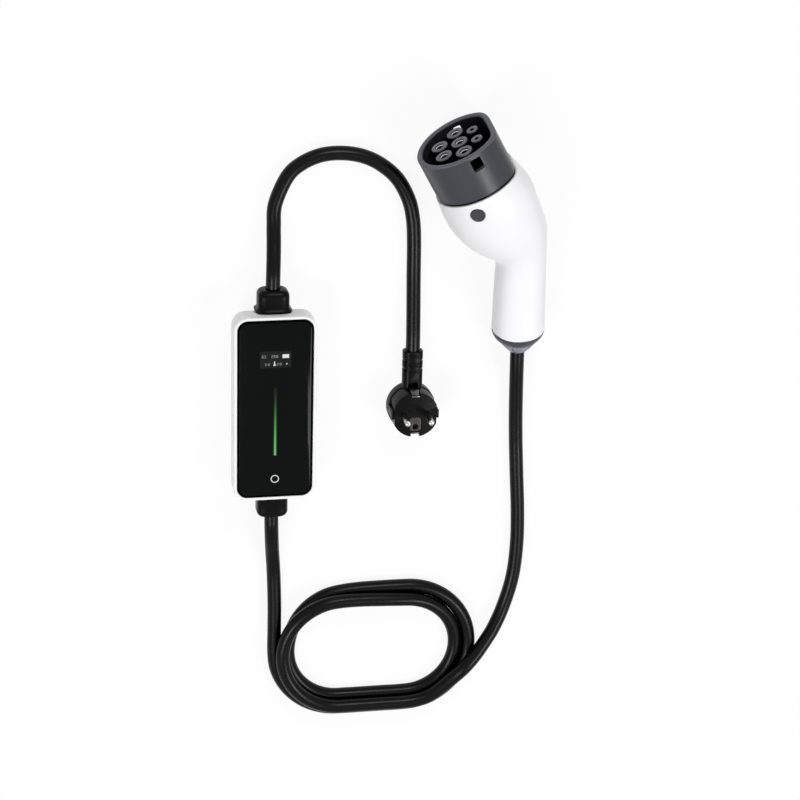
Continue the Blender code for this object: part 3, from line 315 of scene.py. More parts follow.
@dataclass(frozen=True)
class Palette:
    """The finishes of the whole object."""

    white: Moulding = Moulding("white_moulding", (0.86, 0.86, 0.872), 0.34, mottle=0.006, specular=0.12)
    slate: Moulding = Moulding("slate_moulding", (0.044, 0.045, 0.054), 0.34, relief=0.12, specular=0.28)
    # Painted light: the collar's plastic made paler on its rim, where the light falls.
    rim: Moulding = Moulding("rim_painted_light_moulding", (0.105, 0.107, 0.125), 0.45, relief=0.12, specular=0.2)
    nut: Moulding = Moulding("nut_moulding", (0.25, 0.25, 0.30), 0.40, relief=0.12, specular=0.2)
    # Painted shade: a near-black sheet that darkens the inside of the shroud.
    shade_lining: Moulding = Moulding("shroud_shade_lining", (0.014, 0.014, 0.020), 0.42, specular=0.12)
    black: Moulding = Moulding("black_moulding", (0.0015, 0.0015, 0.0025), 0.50, specular=0.06)
    tower: Moulding = Moulding("tower_moulding", (0.145, 0.145, 0.165), 0.40, specular=0.2)
    rubber: Moulding = Moulding("boot_rubber", (0.0016, 0.0016, 0.0020), 0.32, relief=0.08, mottle=0.12,
                                specular=0.09)
    jacket: Moulding = Moulding("cable_jacket", (0.0005, 0.0005, 0.0006), 0.29, relief=0.02, mottle=0.10,
                                specular=0.15)
    glass: Gloss = Gloss("black_glass", (0.0022, 0.0030, 0.0026), 0.07)
    edge: Gloss = Gloss("glass_edge", (0.0002, 0.0002, 0.0002), 0.02)
    window: Gloss = Gloss("smoked_window", (0.013, 0.013, 0.013), 0.07)
    print: Glow = Glow("pale_print", PALE, PALE)
    faint: Glow = Glow("faint_print", FAINT, FAINT)
    plated: Metal = Metal("plated_metal", (0.52, 0.51, 0.50), 0.20)
    sleeve: Metal = Metal("contact_silver", (0.84, 0.83, 0.81), 0.16)
    spring: Metal = Metal("spring_steel", (0.16, 0.16, 0.16), 0.30)
    earth: Moulding = Moulding("earth_block", (0.050, 0.044, 0.042), 0.40, specular=0.2)
    brass: Metal = Metal("brass_metal", (0.72, 0.52, 0.26), 0.28)
    steel: Metal = Metal("screw_steel", (0.45, 0.45, 0.47), 0.32)
    board: Moulding = Moulding("board_laminate", (0.015, 0.12, 0.05), 0.40)
    part: Moulding = Moulding("component_case", (0.025, 0.025, 0.028), 0.38)
    relay: Moulding = Moulding("relay_case", (0.04, 0.10, 0.30), 0.35)
    core: Moulding = Moulding("core_insulation", (0.25, 0.10, 0.04), 0.40)


PALETTE = Palette()


# Bench: the operators that shape a piece


def deselect() -> None:
    """Leave edit mode and select nothing."""
    if bpy.context.mode != "OBJECT":
        bpy.ops.object.mode_set(mode="OBJECT")
    bpy.ops.object.select_all(action="DESELECT")


def activate(piece: Piece) -> None:
    """Make a piece the only selected one.

    Args:
        piece: The piece.
    """
    deselect()
    piece.select_set(True)
    bpy.context.view_layer.objects.active = piece


def named(name: str) -> Piece:
    """Name the piece just added and apply its placement.

    Args:
        name: The piece's name.

    Returns:
        The piece.
    """
    piece = bpy.context.object
    piece.name = piece.data.name = name
    bpy.ops.object.transform_apply(location=True, rotation=True, scale=True)
    return piece


def cube(name: str, size: Sequence[float], centre: Sequence[float] = (0, 0, 0),
         turn: Sequence[float] = (0, 0, 0)) -> Piece:
    """Add a box of a size about a centre.

    Args:
        name: The piece's name.
        size: Its width, length and height.
        centre: Where its middle is.
        turn: Its rotation in radians.

    Returns:
        The new piece.
    """
    deselect()
    bpy.ops.mesh.primitive_cube_add(size=1.0, location=centre, rotation=turn, scale=size)
    return named(name)


def cylinder(name: str, radius: float, low: float, high: float, centre: Sequence[float] = (0, 0),
             segments: int = 48) -> Piece:
    """Add an upright cylinder between two heights.

    Args:
        name: The piece's name.
        radius: Its radius.
        low: The height it starts at.
        high: The height it ends at.
        centre: Its place in plan.
        segments: How many sides it has.

    Returns:
        The new piece.
    """
    deselect()
    bpy.ops.mesh.primitive_cylinder_add(vertices=segments, radius=radius, depth=high - low,
                                        location=(*centre, (low + high) / 2))
    return named(name)


def turned(name: str, profile: Profile, segments: int = 64) -> Piece:
    """Spin a profile of radii and heights about Z.

    Args:
        name: The piece's name.
        profile: Points that run down the outer side; one that stays off the axis is closed on itself.
        segments: How many steps the turn has.

    Returns:
        The new piece.
    """
    line = list(profile)
    if line[0][0] > 0:
        line.append(line[0])
    deselect()
    bpy.ops.mesh.primitive_plane_add(size=0.001)
    piece = bpy.context.object
    piece.name = piece.data.name = name
    bpy.ops.object.mode_set(mode="EDIT")
    bpy.ops.mesh.select_mode(type="VERT")
    bpy.ops.mesh.select_all(action="SELECT")
    bpy.ops.mesh.merge(type="CENTER")
    bpy.ops.transform.translate(value=(line[0][0], 0, line[0][1]))
    for (radius, height), (next_radius, next_height) in zip(line, line[1:]):
        step = (next_radius - radius, 0, next_height - height)
        bpy.ops.mesh.extrude_region_move(TRANSFORM_OT_translate={"value": step})
    bpy.ops.mesh.select_all(action="SELECT")
    bpy.ops.mesh.spin(steps=segments, angle=math.tau, center=(0, 0, 0), axis=(0, 0, 1))
    bpy.ops.mesh.select_all(action="SELECT")
    bpy.ops.mesh.remove_doubles(threshold=WELD)
    bpy.ops.mesh.normals_make_consistent(inside=False)
    bpy.ops.object.mode_set(mode="OBJECT")
    return piece


def pick(piece: Piece, kind: str, test: Test) -> None:
    """Enter edit mode with the edges or faces selected whose middles pass a test.

    Args:
        piece: The piece to edit.
        kind: EDGE or FACE.
        test: Says whether a middle point counts.
    """
    activate(piece)
    bpy.ops.object.mode_set(mode="EDIT")
    bpy.ops.mesh.select_mode(type=kind)
    bpy.ops.mesh.select_all(action="DESELECT")
    mesh = bmesh.from_edit_mesh(piece.data)
    if kind == "EDGE":
        for edge in mesh.edges:
            edge.select_set(test((edge.verts[0].co + edge.verts[1].co) / 2))
    else:
        for face in mesh.faces:
            face.select_set(test(face.calc_center_median()))
    mesh.select_flush_mode()
    bmesh.update_edit_mesh(piece.data)


def round_edges(piece: Piece, test: Test, width: float, segments: int) -> None:
    """Round the edges whose middles pass a test.

    Args:
        piece: The piece.
        test: Says whether a middle point counts.
        width: The round's width.
        segments: How many steps it has.
    """
    pick(piece, "EDGE", test)
    bpy.ops.mesh.bevel(offset=width, segments=segments, affect="EDGES")
    bpy.ops.object.mode_set(mode="OBJECT")


def inset_faces(piece: Piece, test: Test, thickness: float, depth: float) -> None:
    """Inset the faces whose middles pass a test, and slope them down or up.

    Args:
        piece: The piece.
        test: Says whether a middle point counts.
        thickness: How far the faces are drawn in.
        depth: How far they are raised.
    """
    pick(piece, "FACE", test)
    bpy.ops.mesh.inset(thickness=thickness, depth=0.0)
    bpy.ops.mesh.inset(thickness=0.0, depth=depth)
    bpy.ops.object.mode_set(mode="OBJECT")


def sink(piece: Piece, test: Test, wall: float, move: float) -> None:
    """Leave a wall round the faces whose middles pass a test, and push them along Z.

    Args:
        piece: The piece.
        test: Says whether a middle point counts.
        wall: The wall's thickness.
        move: How far the faces go up.
    """
    pick(piece, "FACE", test)
    bpy.ops.mesh.inset(thickness=wall, depth=0.0)
    bpy.ops.mesh.extrude_region_move(TRANSFORM_OT_translate={"value": (0, 0, move)})
    bpy.ops.object.mode_set(mode="OBJECT")


def taper(piece: Piece, test: Test, scale: Sequence[float]) -> None:
    """Scale the faces whose middles pass a test.

    Args:
        piece: The piece.
        test: Says whether a middle point counts.
        scale: The scale along each axis.
    """
    pick(piece, "FACE", test)
    bpy.ops.transform.resize(value=scale)
    bpy.ops.object.mode_set(mode="OBJECT")


def rounded_box(name: str, size: Sequence[float], centre: Sequence[float], axis: int, radius: float,
                segments: int) -> Piece:
    """Add a box with its four edges along one axis rounded.

    Args:
        name: The piece's name.
        size: Its width, length and height.
        centre: Where its middle is.
        axis: The axis that the rounded edges run along, from 0 to 2.
        radius: The corners' radius.
        segments: How many steps a corner has.

    Returns:
        The new piece.
    """
    piece = cube(name, size, centre)
    round_edges(piece, lambda p: abs(p[axis] - centre[axis]) < NEAR, radius, segments)
    return piece


def merge_folds(piece: Piece) -> None:
    """Merge points that lie on each other, and the faces that fold flat with them.

    Args:
        piece: The piece.
    """
    pick(piece, "VERT", lambda p: True)
    bpy.ops.mesh.remove_doubles(threshold=WELD)
    bpy.ops.mesh.dissolve_degenerate(threshold=WELD)
    bpy.ops.object.mode_set(mode="OBJECT")


def combine(piece: Piece, tool: Piece, operation: str = "DIFFERENCE") -> None:
    """Cut a piece with a tool, or join them, and remove the tool.

    Args:
        piece: The piece that stays.
        tool: The piece that is used up.
        operation: DIFFERENCE, UNION or INTERSECT.
    """
    activate(piece)
    step = piece.modifiers.new("combine", "BOOLEAN")
    step.operation = operation
    step.solver = "EXACT"
    step.object = tool
    bpy.ops.object.modifier_apply(modifier=step.name)
    bpy.data.objects.remove(tool, do_unlink=True)
    merge_folds(piece)


def soften(piece: Piece, width: float, segments: int = 2, angle: float = 35.0) -> None:
    """Round all of a piece's sharp edges with an applied Bevel, and merge what it leaves folded.

    Args:
        piece: The piece.
        width: The bevel's width.
        segments: How many steps the round has.
        angle: The angle in degrees above which an edge is sharp.
    """
    activate(piece)
    step = piece.modifiers.new("soften", "BEVEL")
    step.width = width
    step.segments = segments
    step.limit_method = "ANGLE"
    step.angle_limit = math.radians(angle)
    bpy.ops.object.modifier_apply(modifier=step.name)
    merge_folds(piece)


def place(piece: Piece, matrix: Matrix) -> Piece:
    """Move a piece by a matrix, with the move kept in its mesh.

    Args:
        piece: The piece.
        matrix: The move.

    Returns:
        The piece.
    """
    piece.data.transform(matrix)
    piece.data.update()
    return piece


def leaned(pitch: float, yaw: float = 0.0) -> Matrix:
    """A turn about X and then about Z, both in degrees."""
    return Euler((math.radians(pitch), 0, math.radians(yaw))).to_matrix().to_4x4()


def link(name: str, data: bpy.types.ID) -> Piece:
    """Add a piece that holds ready data.

    Args:
        name: The piece's name.
        data: Its mesh, curve or camera data.

    Returns:
        The new piece.
    """
    piece = bpy.data.objects.new(name, data)
    bpy.context.scene.collection.objects.link(piece)
    return piece


def copied(pattern: Piece, name: str, move: Matrix) -> Piece:
    """Copy a pattern piece with its own mesh, and move the copy into place.

    Args:
        pattern: The piece to copy.
        name: The copy's name.
        move: The move.

    Returns:
        The copy.
    """
    mesh = pattern.data.copy()
    mesh.name = name
    return place(link(name, mesh), move)


def skin(name: str, rings: Sequence[Sequence[Vector]], closed: bool = False) -> Piece:
    """Loft rings of equally many points, for forms that no operator gives.

    Args:
        name: The piece's name.
        rings: The rings in order.
        closed: Whether the last ring joins the first; otherwise both ends are capped.

    Returns:
        The new piece, with its faces pointing out.
    """
    build = bmesh.new()
    rows = [[build.verts.new(point) for point in ring] for ring in rings]
    pairs = list(zip(rows, rows[1:]))
    if closed:
        pairs.append((rows[-1], rows[0]))
    for low, high in pairs:
        for i in range(len(low)):
            j = (i + 1) % len(low)
            build.faces.new((low[i], low[j], high[j], high[i]))
    if not closed:
        build.faces.new(rows[0][::-1])
        build.faces.new(rows[-1])
    bmesh.ops.remove_doubles(build, verts=build.verts, dist=WELD)
    bmesh.ops.recalc_face_normals(build, faces=build.faces)
    mesh = bpy.data.meshes.new(name)
    build.to_mesh(mesh)
    build.free()
    return link(name, mesh)


def quarter(radius: float, steps: int = 6) -> Profile:
    """Insets and drops of a quarter round, from the side to the flat."""
    angles = [math.pi / 2 * step / steps for step in range(steps + 1)]
    return [(radius * (1 - math.cos(a)), radius * (1 - math.sin(a))) for a in angles]


def hand_over(piece: Piece, finish: Finish, stands_for: Sequence[str] = (),
              angle: float = 30.0) -> Piece:
    """Dress a finished piece and hang it on the object.

    Args:
        piece: The finished piece, in its place.
        finish: Its finish.
        stands_for: The CAD nodes that it replaces.
        angle: The angle in degrees above which an edge stays sharp.

    Returns:
        The piece.
    """
    piece.data.materials.clear()
    piece.data.materials.append(material_of(finish))
    if piece.type == "MESH":
        activate(piece)
        bpy.ops.object.shade_smooth_by_angle(angle=math.radians(angle))
    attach(piece, BODY)
    if stands_for:
        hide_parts(*stands_for)
    log.info("%s: dressed as %s", piece.name, finish.name)
    return piece


# Curves


def clamp(value: float) -> float:
    """A value held between 0 and 1."""
    return min(max(value, 0.0), 1.0)


def ease(value: float) -> float:
    """A soft step from 0 to 1."""
    share = clamp(value)
    return share * share * (3 - 2 * share)


def full_turn(count: int) -> list[float]:
    """Evenly spaced angles of a full turn."""
    return [math.tau * index / count for index in range(count)]


def soft_oval(turn: float, square: float) -> tuple[float, float]:
    """A point of a unit oval: 1 gives a circle, and less gives squarer corners."""
    cosine, sine = math.cos(turn), math.sin(turn)
    return math.copysign(abs(cosine) ** square, cosine), math.copysign(abs(sine) ** square, sine)


def curve_value(values: Sequence[float], at: float) -> float:
    """Read a smooth curve through evenly numbered values.

    Args:
        values: The values at 0, 1, 2 and so on.
        at: The number to read at.

    Returns:
        The curve's value.
    """
    index = min(int(at), len(values) - 2)
    share = at - index
    before = values[max(index - 1, 0)]
    here, after = values[index], values[index + 1]
    beyond = values[min(index + 2, len(values) - 1)]
    bend = 2 * before - 5 * here + 4 * after - beyond
    curl = 3 * here - before - 3 * after + beyond
    return 0.5 * (2 * here + (after - before) * share + bend * share ** 2 + curl * share ** 3)


def smooth_route(points: Sequence[Sequence[float]], floor: float, between: int = 5) -> list[Vector]:
    """A smooth line through a route's points that never sinks below the floor.

    Args:
        points: The route's points.
        floor: The lowest height of the line.
        between: How many steps lie between two points.

    Returns:
        The line's points.
    """
    line = []
    for index in range((len(points) - 1) * between + 1):
        at = index / between
        point = Vector([curve_value([p[axis] for p in points], at) for axis in range(3)])
        point.z = max(point.z, floor)
        line.append(point)
    return line


def route_length(line: Sequence[Vector]) -> float:
    """The length of a line of points."""
    return sum((b - a).length for a, b in zip(line, line[1:]))


# Control box


@dataclass
class ControlBox:
    """The white box with the black glass front, its boots and what shows in the glass."""

    width: float = 0.0655
    length: float = 0.154
    depth: float = 0.036
    seam: float = 0.018
    wall: float = 0.0024
    roof: float = 0.005
    rear_hollow: float = 0.006
    corner: float = 0.011
    draft: float = 20.0
    front_round: float = 0.0011
    rear_round: float = 0.0009
    screw_spots: tuple[float, float] = (0.019, 0.062)
    well: tuple[float, float] = (0.0027, 0.0015)
    margin: float = 0.0026
    glass: float = 0.0018
    glass_seat: float = 0.0002
    band: float = 0.0013
    band_drop: float = 0.0004
    pane_inset: float = 0.0015
    pane: float = 0.0003
    window: tuple[float, float, float] = (0.0246, 0.0138, 0.0002)
    window_y: float = 0.0422
    line: tuple[float, float] = (0.0016, 0.057)
    line_y: float = -0.0102
    line_fade: float = 0.003
    haze: float = 0.0018
    key_y: float = -0.0589
    key_radii: tuple[float, float] = (0.0033, 0.0026)
    ink: float = 0.00008
    boot_radius: float = 0.0126
    boot_flatness: float = 0.80
    boot_square: float = 0.52
    boot_shoulder: float = 0.0052
    boot_lengths: tuple[float, float] = (0.0180, 0.0200)
    boot_lip: float = 0.0004
    boot_bore: float = 0.004
    foot_radius: float = 0.0147
    foot: float = 0.0013
    flare: float = 0.0026

    def build(self) -> None:
        """Make all of the box's pieces."""
        self.front_shell()
        self.rear_shell()
        self.glass_front()
        self.readout()
        self.light_bar()
        self.key_ring()
        self.boot("upper_boot", self.boot_lengths[0], 1, "upper_cable_boot")
        self.boot("lower_boot", self.boot_lengths[1], -1, "lower_cable_boot")

    def rounded_block(self, name: str, inset: float, low: float, high: float) -> Piece:
        """A block with the box's rounded outline.

        Args:
            name: The piece's name.
            inset: How far the outline is drawn in.
            low: The height it starts at.
            high: The height it ends at.

        Returns:
            The new piece.
        """
        size = (self.width - 2 * inset, self.length - 2 * inset, high - low)
        return rounded_box(name, size, (0, 0, (low + high) / 2), 2, self.corner - inset, 12)

    def at_end(self, sign: int, lean: float) -> Matrix:
        """The place where a cable leaves the box, leaned by an angle in degrees."""
        return Matrix.Translation((0, sign * self.length / 2, self.seam)) @ leaned(lean)

    def front_shell(self) -> None:
        """The straight-walled front shell with its rim and the recess for the glass."""
        low = self.seam + FIT / 2
        piece = self.rounded_block("front_shell", 0, low, self.depth)
        sink(piece, lambda p: p.z > self.depth - NEAR, self.margin, -self.glass - self.glass_seat)
        sink(piece, lambda p: p.z < low + NEAR, self.wall, self.depth - low - self.roof)
        soften(piece, self.front_round, 4, 60)
        hand_over(piece, PALETTE.white, ["front_housing"])

    def rear_shell(self) -> None:
        """The drafted rear shell with its flat back, the seats of the boots and the screw wells."""
        top = self.seam - FIT / 2
        piece = self.rounded_block("rear_shell", 0, 0, top)
        inset = self.seam * math.tan(math.radians(self.draft))
        taper(piece, lambda p: p.z < NEAR, (1 - 2 * inset / self.width, 1 - 2 * inset / self.length, 1))
        sink(piece, lambda p: p.z > top - NEAR, self.wall, -self.rear_hollow)
        block = 0.1
        for sign in (1, -1):
            seat = cylinder("seat", self.foot_radius, 0, self.wall * 2, segments=64)
            place(seat, self.at_end(sign, 90 * sign))
            combine(seat, cube("trim", (block, block, block), (0, sign * self.length / 2, top + block / 2)))
            combine(piece, seat, "UNION")
        across, along = self.screw_spots
        radius, depth = self.well
        for x in (-across, across):
            for y in (-along, along):
                combine(piece, cylinder("well", radius, -0.001, depth, (x, y), 32))
        soften(piece, self.rear_round, 3, 30)
        hand_over(piece, PALETTE.white, ["rear_housing"])

    def glass_front(self) -> None:
        """The black glass in its darker edge band."""
        inset = self.margin + FIT
        band = self.rounded_block("glass_edge_band", inset, self.depth - self.glass, self.depth)
        inset_faces(band, lambda p: p.z > self.depth - NEAR, self.band, -self.band_drop)
        hand_over(band, PALETTE.edge, ["glass_panel"])
        pane = self.rounded_block("glass_pane", inset + self.pane_inset, self.depth - self.pane, self.depth)
        soften(pane, 0.0001, 2, 60)
        hand_over(pane, PALETTE.glass)

    def readout(self) -> None:
        """The smoked window with generic figures, a level block and small marks."""
        pane = cube("readout_window", self.window, (0, self.window_y, self.depth))
        soften(pane, self.ink, 1, 60)
        hand_over(pane, PALETTE.window, ["display_window"])
        readout = Readout(self.window_y, self.depth + self.window[2] / 2)
        hand_over(readout.join("readout_figures", readout.figures()), PALETTE.faint)
        hand_over(readout.join("readout_marks", readout.marks()), PALETTE.print)

    def light_bar(self) -> None:
        """The green bar that fades in along its length, in its wider and darker green glow."""
        width, length = self.line
        start, end = self.line_y + length / 2, self.line_y - length / 2
        fade = (start, end - self.line_fade)
        bar = Glow("green_bar", (0.0, 0.002, 0.0), (0.145, 0.49, 0.137), *fade)
        haze = Glow("green_haze", (0.0, 0.0008, 0.0), (0.0, 0.040, 0.0), *fade)
        for name, across, height, finish, nodes in (
                ("light_bar", width, self.ink * 1.5, bar, ["light_guide"]),
                ("light_bar_surround", width + self.haze, self.ink * 0.75, haze, [])):
            piece = cube(name, (across, length, height), (0, self.line_y, self.depth + height / 2))
            taper(piece, lambda p: p.y > start - NEAR, (0.8, 1, 1))
            round_edges(piece, lambda p: p.y < end + NEAR and abs(p.x) > width / 4, across * 0.3, 4)
            hand_over(piece, finish, nodes)

    def key_ring(self) -> None:
        """The printed ring that marks the touch key."""
        outer, inner = self.key_radii
        ring = turned("key_ring", [(outer, self.ink), (outer, 0), (inner, 0), (inner, self.ink)])
        place(ring, Matrix.Translation((0, self.key_y, self.depth)))
        hand_over(ring, PALETTE.print)

    def boot(self, name: str, length: float, sign: int, node: str) -> None:
        """A moulded rubber boot where a cable leaves the box.

        Args:
            name: The piece's name.
            length: How far it stands out.
            sign: 1 for the mains side, -1 for the vehicle side.
            node: The CAD node that it stands for.
        """
        mouth = CABLE / 2 + 0.0002
        steps, curve = 5, 0.6
        narrowing = self.foot_radius - self.boot_radius
        rows = [(self.foot_radius - FIT, FIT), (self.foot_radius, FIT * 2), (self.foot_radius, self.foot)]
        for step in range(1, steps + 1):
            share = step / steps
            rows.append((self.foot_radius - narrowing * share ** curve, self.foot + self.flare * share))
        for inset, drop in quarter(self.boot_shoulder, 8):
            rows.append((self.boot_radius - inset, length - drop))
        rings = [self.boot_ring(radius, self.boot_flatness, self.boot_square, height)
                 for radius, height in rows]
        for radius, height in ((mouth + self.boot_lip, length), (mouth, length - self.boot_lip),
                               (mouth, length - self.boot_bore)):
            rings.append(self.boot_ring(radius, 1.0, 1.0, height))
        piece = place(skin(name, rings), self.at_end(sign, -90 * sign))
        hand_over(piece, PALETTE.rubber, [node], 40)

    @staticmethod
    def boot_ring(radius: float, flatness: float, square: float, height: float) -> list[Vector]:
        """A boot's outline at a height: a soft oblong, or round where the cable passes.

        Args:
            radius: Half its width.
            flatness: Its thickness as a share of its width.
            square: 1 for an ellipse, less for squarer corners.
            height: The distance from the box's end.

        Returns:
            The outline's points.
        """
        outline = [soft_oval(turn, square) for turn in full_turn(72)]
        return [Vector((radius * x, radius * flatness * y, height)) for x, y in outline]


@dataclass
class Readout:
    """Generic figures made of bars, with a level block and a few small marks."""

    centre_y: float
    height: float
    bar: float = 0.00026
    pitch: float = 1.45
    ink: float = 0.00008

    SEGMENTS = {"0": "abcdef", "1": "bc", "2": "abged", "3": "abgcd", "6": "afgcde", "8": "abcdefg"}
    NUMBERS = (("163", -0.0118, 0.0016, 0.0010, 0.0020), ("2306", -0.0034, 0.0016, 0.0010, 0.0020),
               ("012", -0.0082, -0.0048, 0.0009, 0.0018), ("218", 0.0010, -0.0048, 0.0009, 0.0018))
    MARKS = ((0.0079, 0.0026, 0.0052, 0.0031), (-0.0009, -0.0030, 0.0008, 0.0030),
             (-0.0009, -0.0046, 0.0016, 0.0012), (0.0088, -0.0038, 0.0009, 0.0009))

    def figures(self) -> list[tuple[float, ...]]:
        """The bars of the four dim numbers."""
        numbers = [self.number(text, x, self.centre_y + y, *size) for text, x, y, *size in self.NUMBERS]
        return [bar for number in numbers for bar in number]

    def marks(self) -> list[tuple[float, ...]]:
        """The bright level block, warmth mark and dot."""
        return [(x, self.centre_y + y, width, length) for x, y, width, length in self.MARKS]

    def join(self, name: str, bars: list[tuple[float, ...]]) -> Piece:
        """Join thin bars into one print.

        Args:
            name: The print's name.
            bars: Each bar's centre and size.

        Returns:
            The print.
        """
        made = [cube("mark", (width, length, self.ink), (across, along, self.height))
                for across, along, width, length in bars]
        made[0].name = made[0].data.name = name
        activate(made[0])
        for bar in made[1:]:
            bar.select_set(True)
        bpy.ops.object.join()
        return made[0]

    def number(self, text: str, x: float, y: float, width: float, height: float) -> list[tuple[float, ...]]:
        """The bars of a number.

        Args:
            text: The figures.
            x: The left edge of the first figure.
            y: The foot of the figures.
            width: A figure's width.
            height: A figure's height.

        Returns:
            Bars as centre x, centre y, width and length.
        """
        bars = []
        upright = height / 2 - 0.00004
        for index, figure in enumerate(text):
            left = x + index * width * self.pitch
            places = {key: (left + width / 2, y + height * share, width, self.bar)
                      for key, share in (("a", 1), ("g", 0.5), ("d", 0))}
            for key, side, share in (("f", 0, 0.75), ("b", 1, 0.75), ("e", 0, 0.25), ("c", 1, 0.25)):
                places[key] = (left + width * side, y + height * share, self.bar, upright)
            bars += [places[key] for key in self.SEGMENTS[figure]]
        return bars


# Vehicle connector


@dataclass(frozen=True)
class Contact:
    """One kind of contact: its rows of copies, and the sizes of its tower and sleeve."""

    kind: str
    rows: tuple[tuple[float, tuple[float, ...]], ...]
    outer: float
    mouth: float
    bore: float
    depth: float
    pitch: float = 0.0170
    neck: float = 0.0010
    sleeve_wall: float = 0.0009
    slot: tuple[float, float] = (0.0009, 0.016)

    def places(self) -> list[tuple[float, float]]:
        """Where its copies stand: the distances towards the flat and across."""
        return [(up, self.pitch * step) for up, steps in self.rows for step in steps]

    def head(self, top: float) -> Piece:
        """The tower's pale head with its narrowed mouth.

        Args:
            top: The height of its end face.

        Returns:
            The head, at the coupler's centre.
        """
        low, soft = top - self.neck, 0.0004
        return turned(f"{self.kind}_head", [
            (self.outer, low), (self.bore, low), (self.mouth, low + soft), (self.mouth, top - 0.0003),
            (self.mouth + 0.0003, top), (self.outer - soft, top), (self.outer - 0.0001, top - 0.0001),
            (self.outer, top - soft)], 48)

    def shaded_stem(self, top: float, floor: float) -> Piece:
        """The tower's side below its head, which takes the black moulding as painted shade.

        Args:
            top: The height of the tower's end face.
            floor: The height of the carrier's face.

        Returns:
            The stem, at the coupler's centre.
        """
        low, high = floor - 0.001, top - self.neck
        return turned(f"{self.kind}_stem", [
            (self.outer, low), (self.bore, low), (self.bore, high), (self.outer, high)], 48)

    def sleeve(self, top: float, floor: float) -> Piece:
        """A metal contact sleeve with a slot across its mouth.

        Args:
            top: The height of the tower's end face.
            floor: The height of the carrier's face.

        Returns:
            The sleeve, at the coupler's centre.
        """
        radius, high = self.bore - FIT, top - self.depth
        bore, root = radius - self.sleeve_wall, floor + 0.001
        piece = turned(f"{self.kind}_sleeve", [
            (0, root), (bore, root), (bore, high - 0.0003), (bore + 0.0003, high), (radius - 0.0002, high),
            (radius, high - 0.0002), (radius, floor), (0, floor)], 40)
        combine(piece, cube("slot", (radius * 3, *self.slot), (0, 0, high)))
        return piece


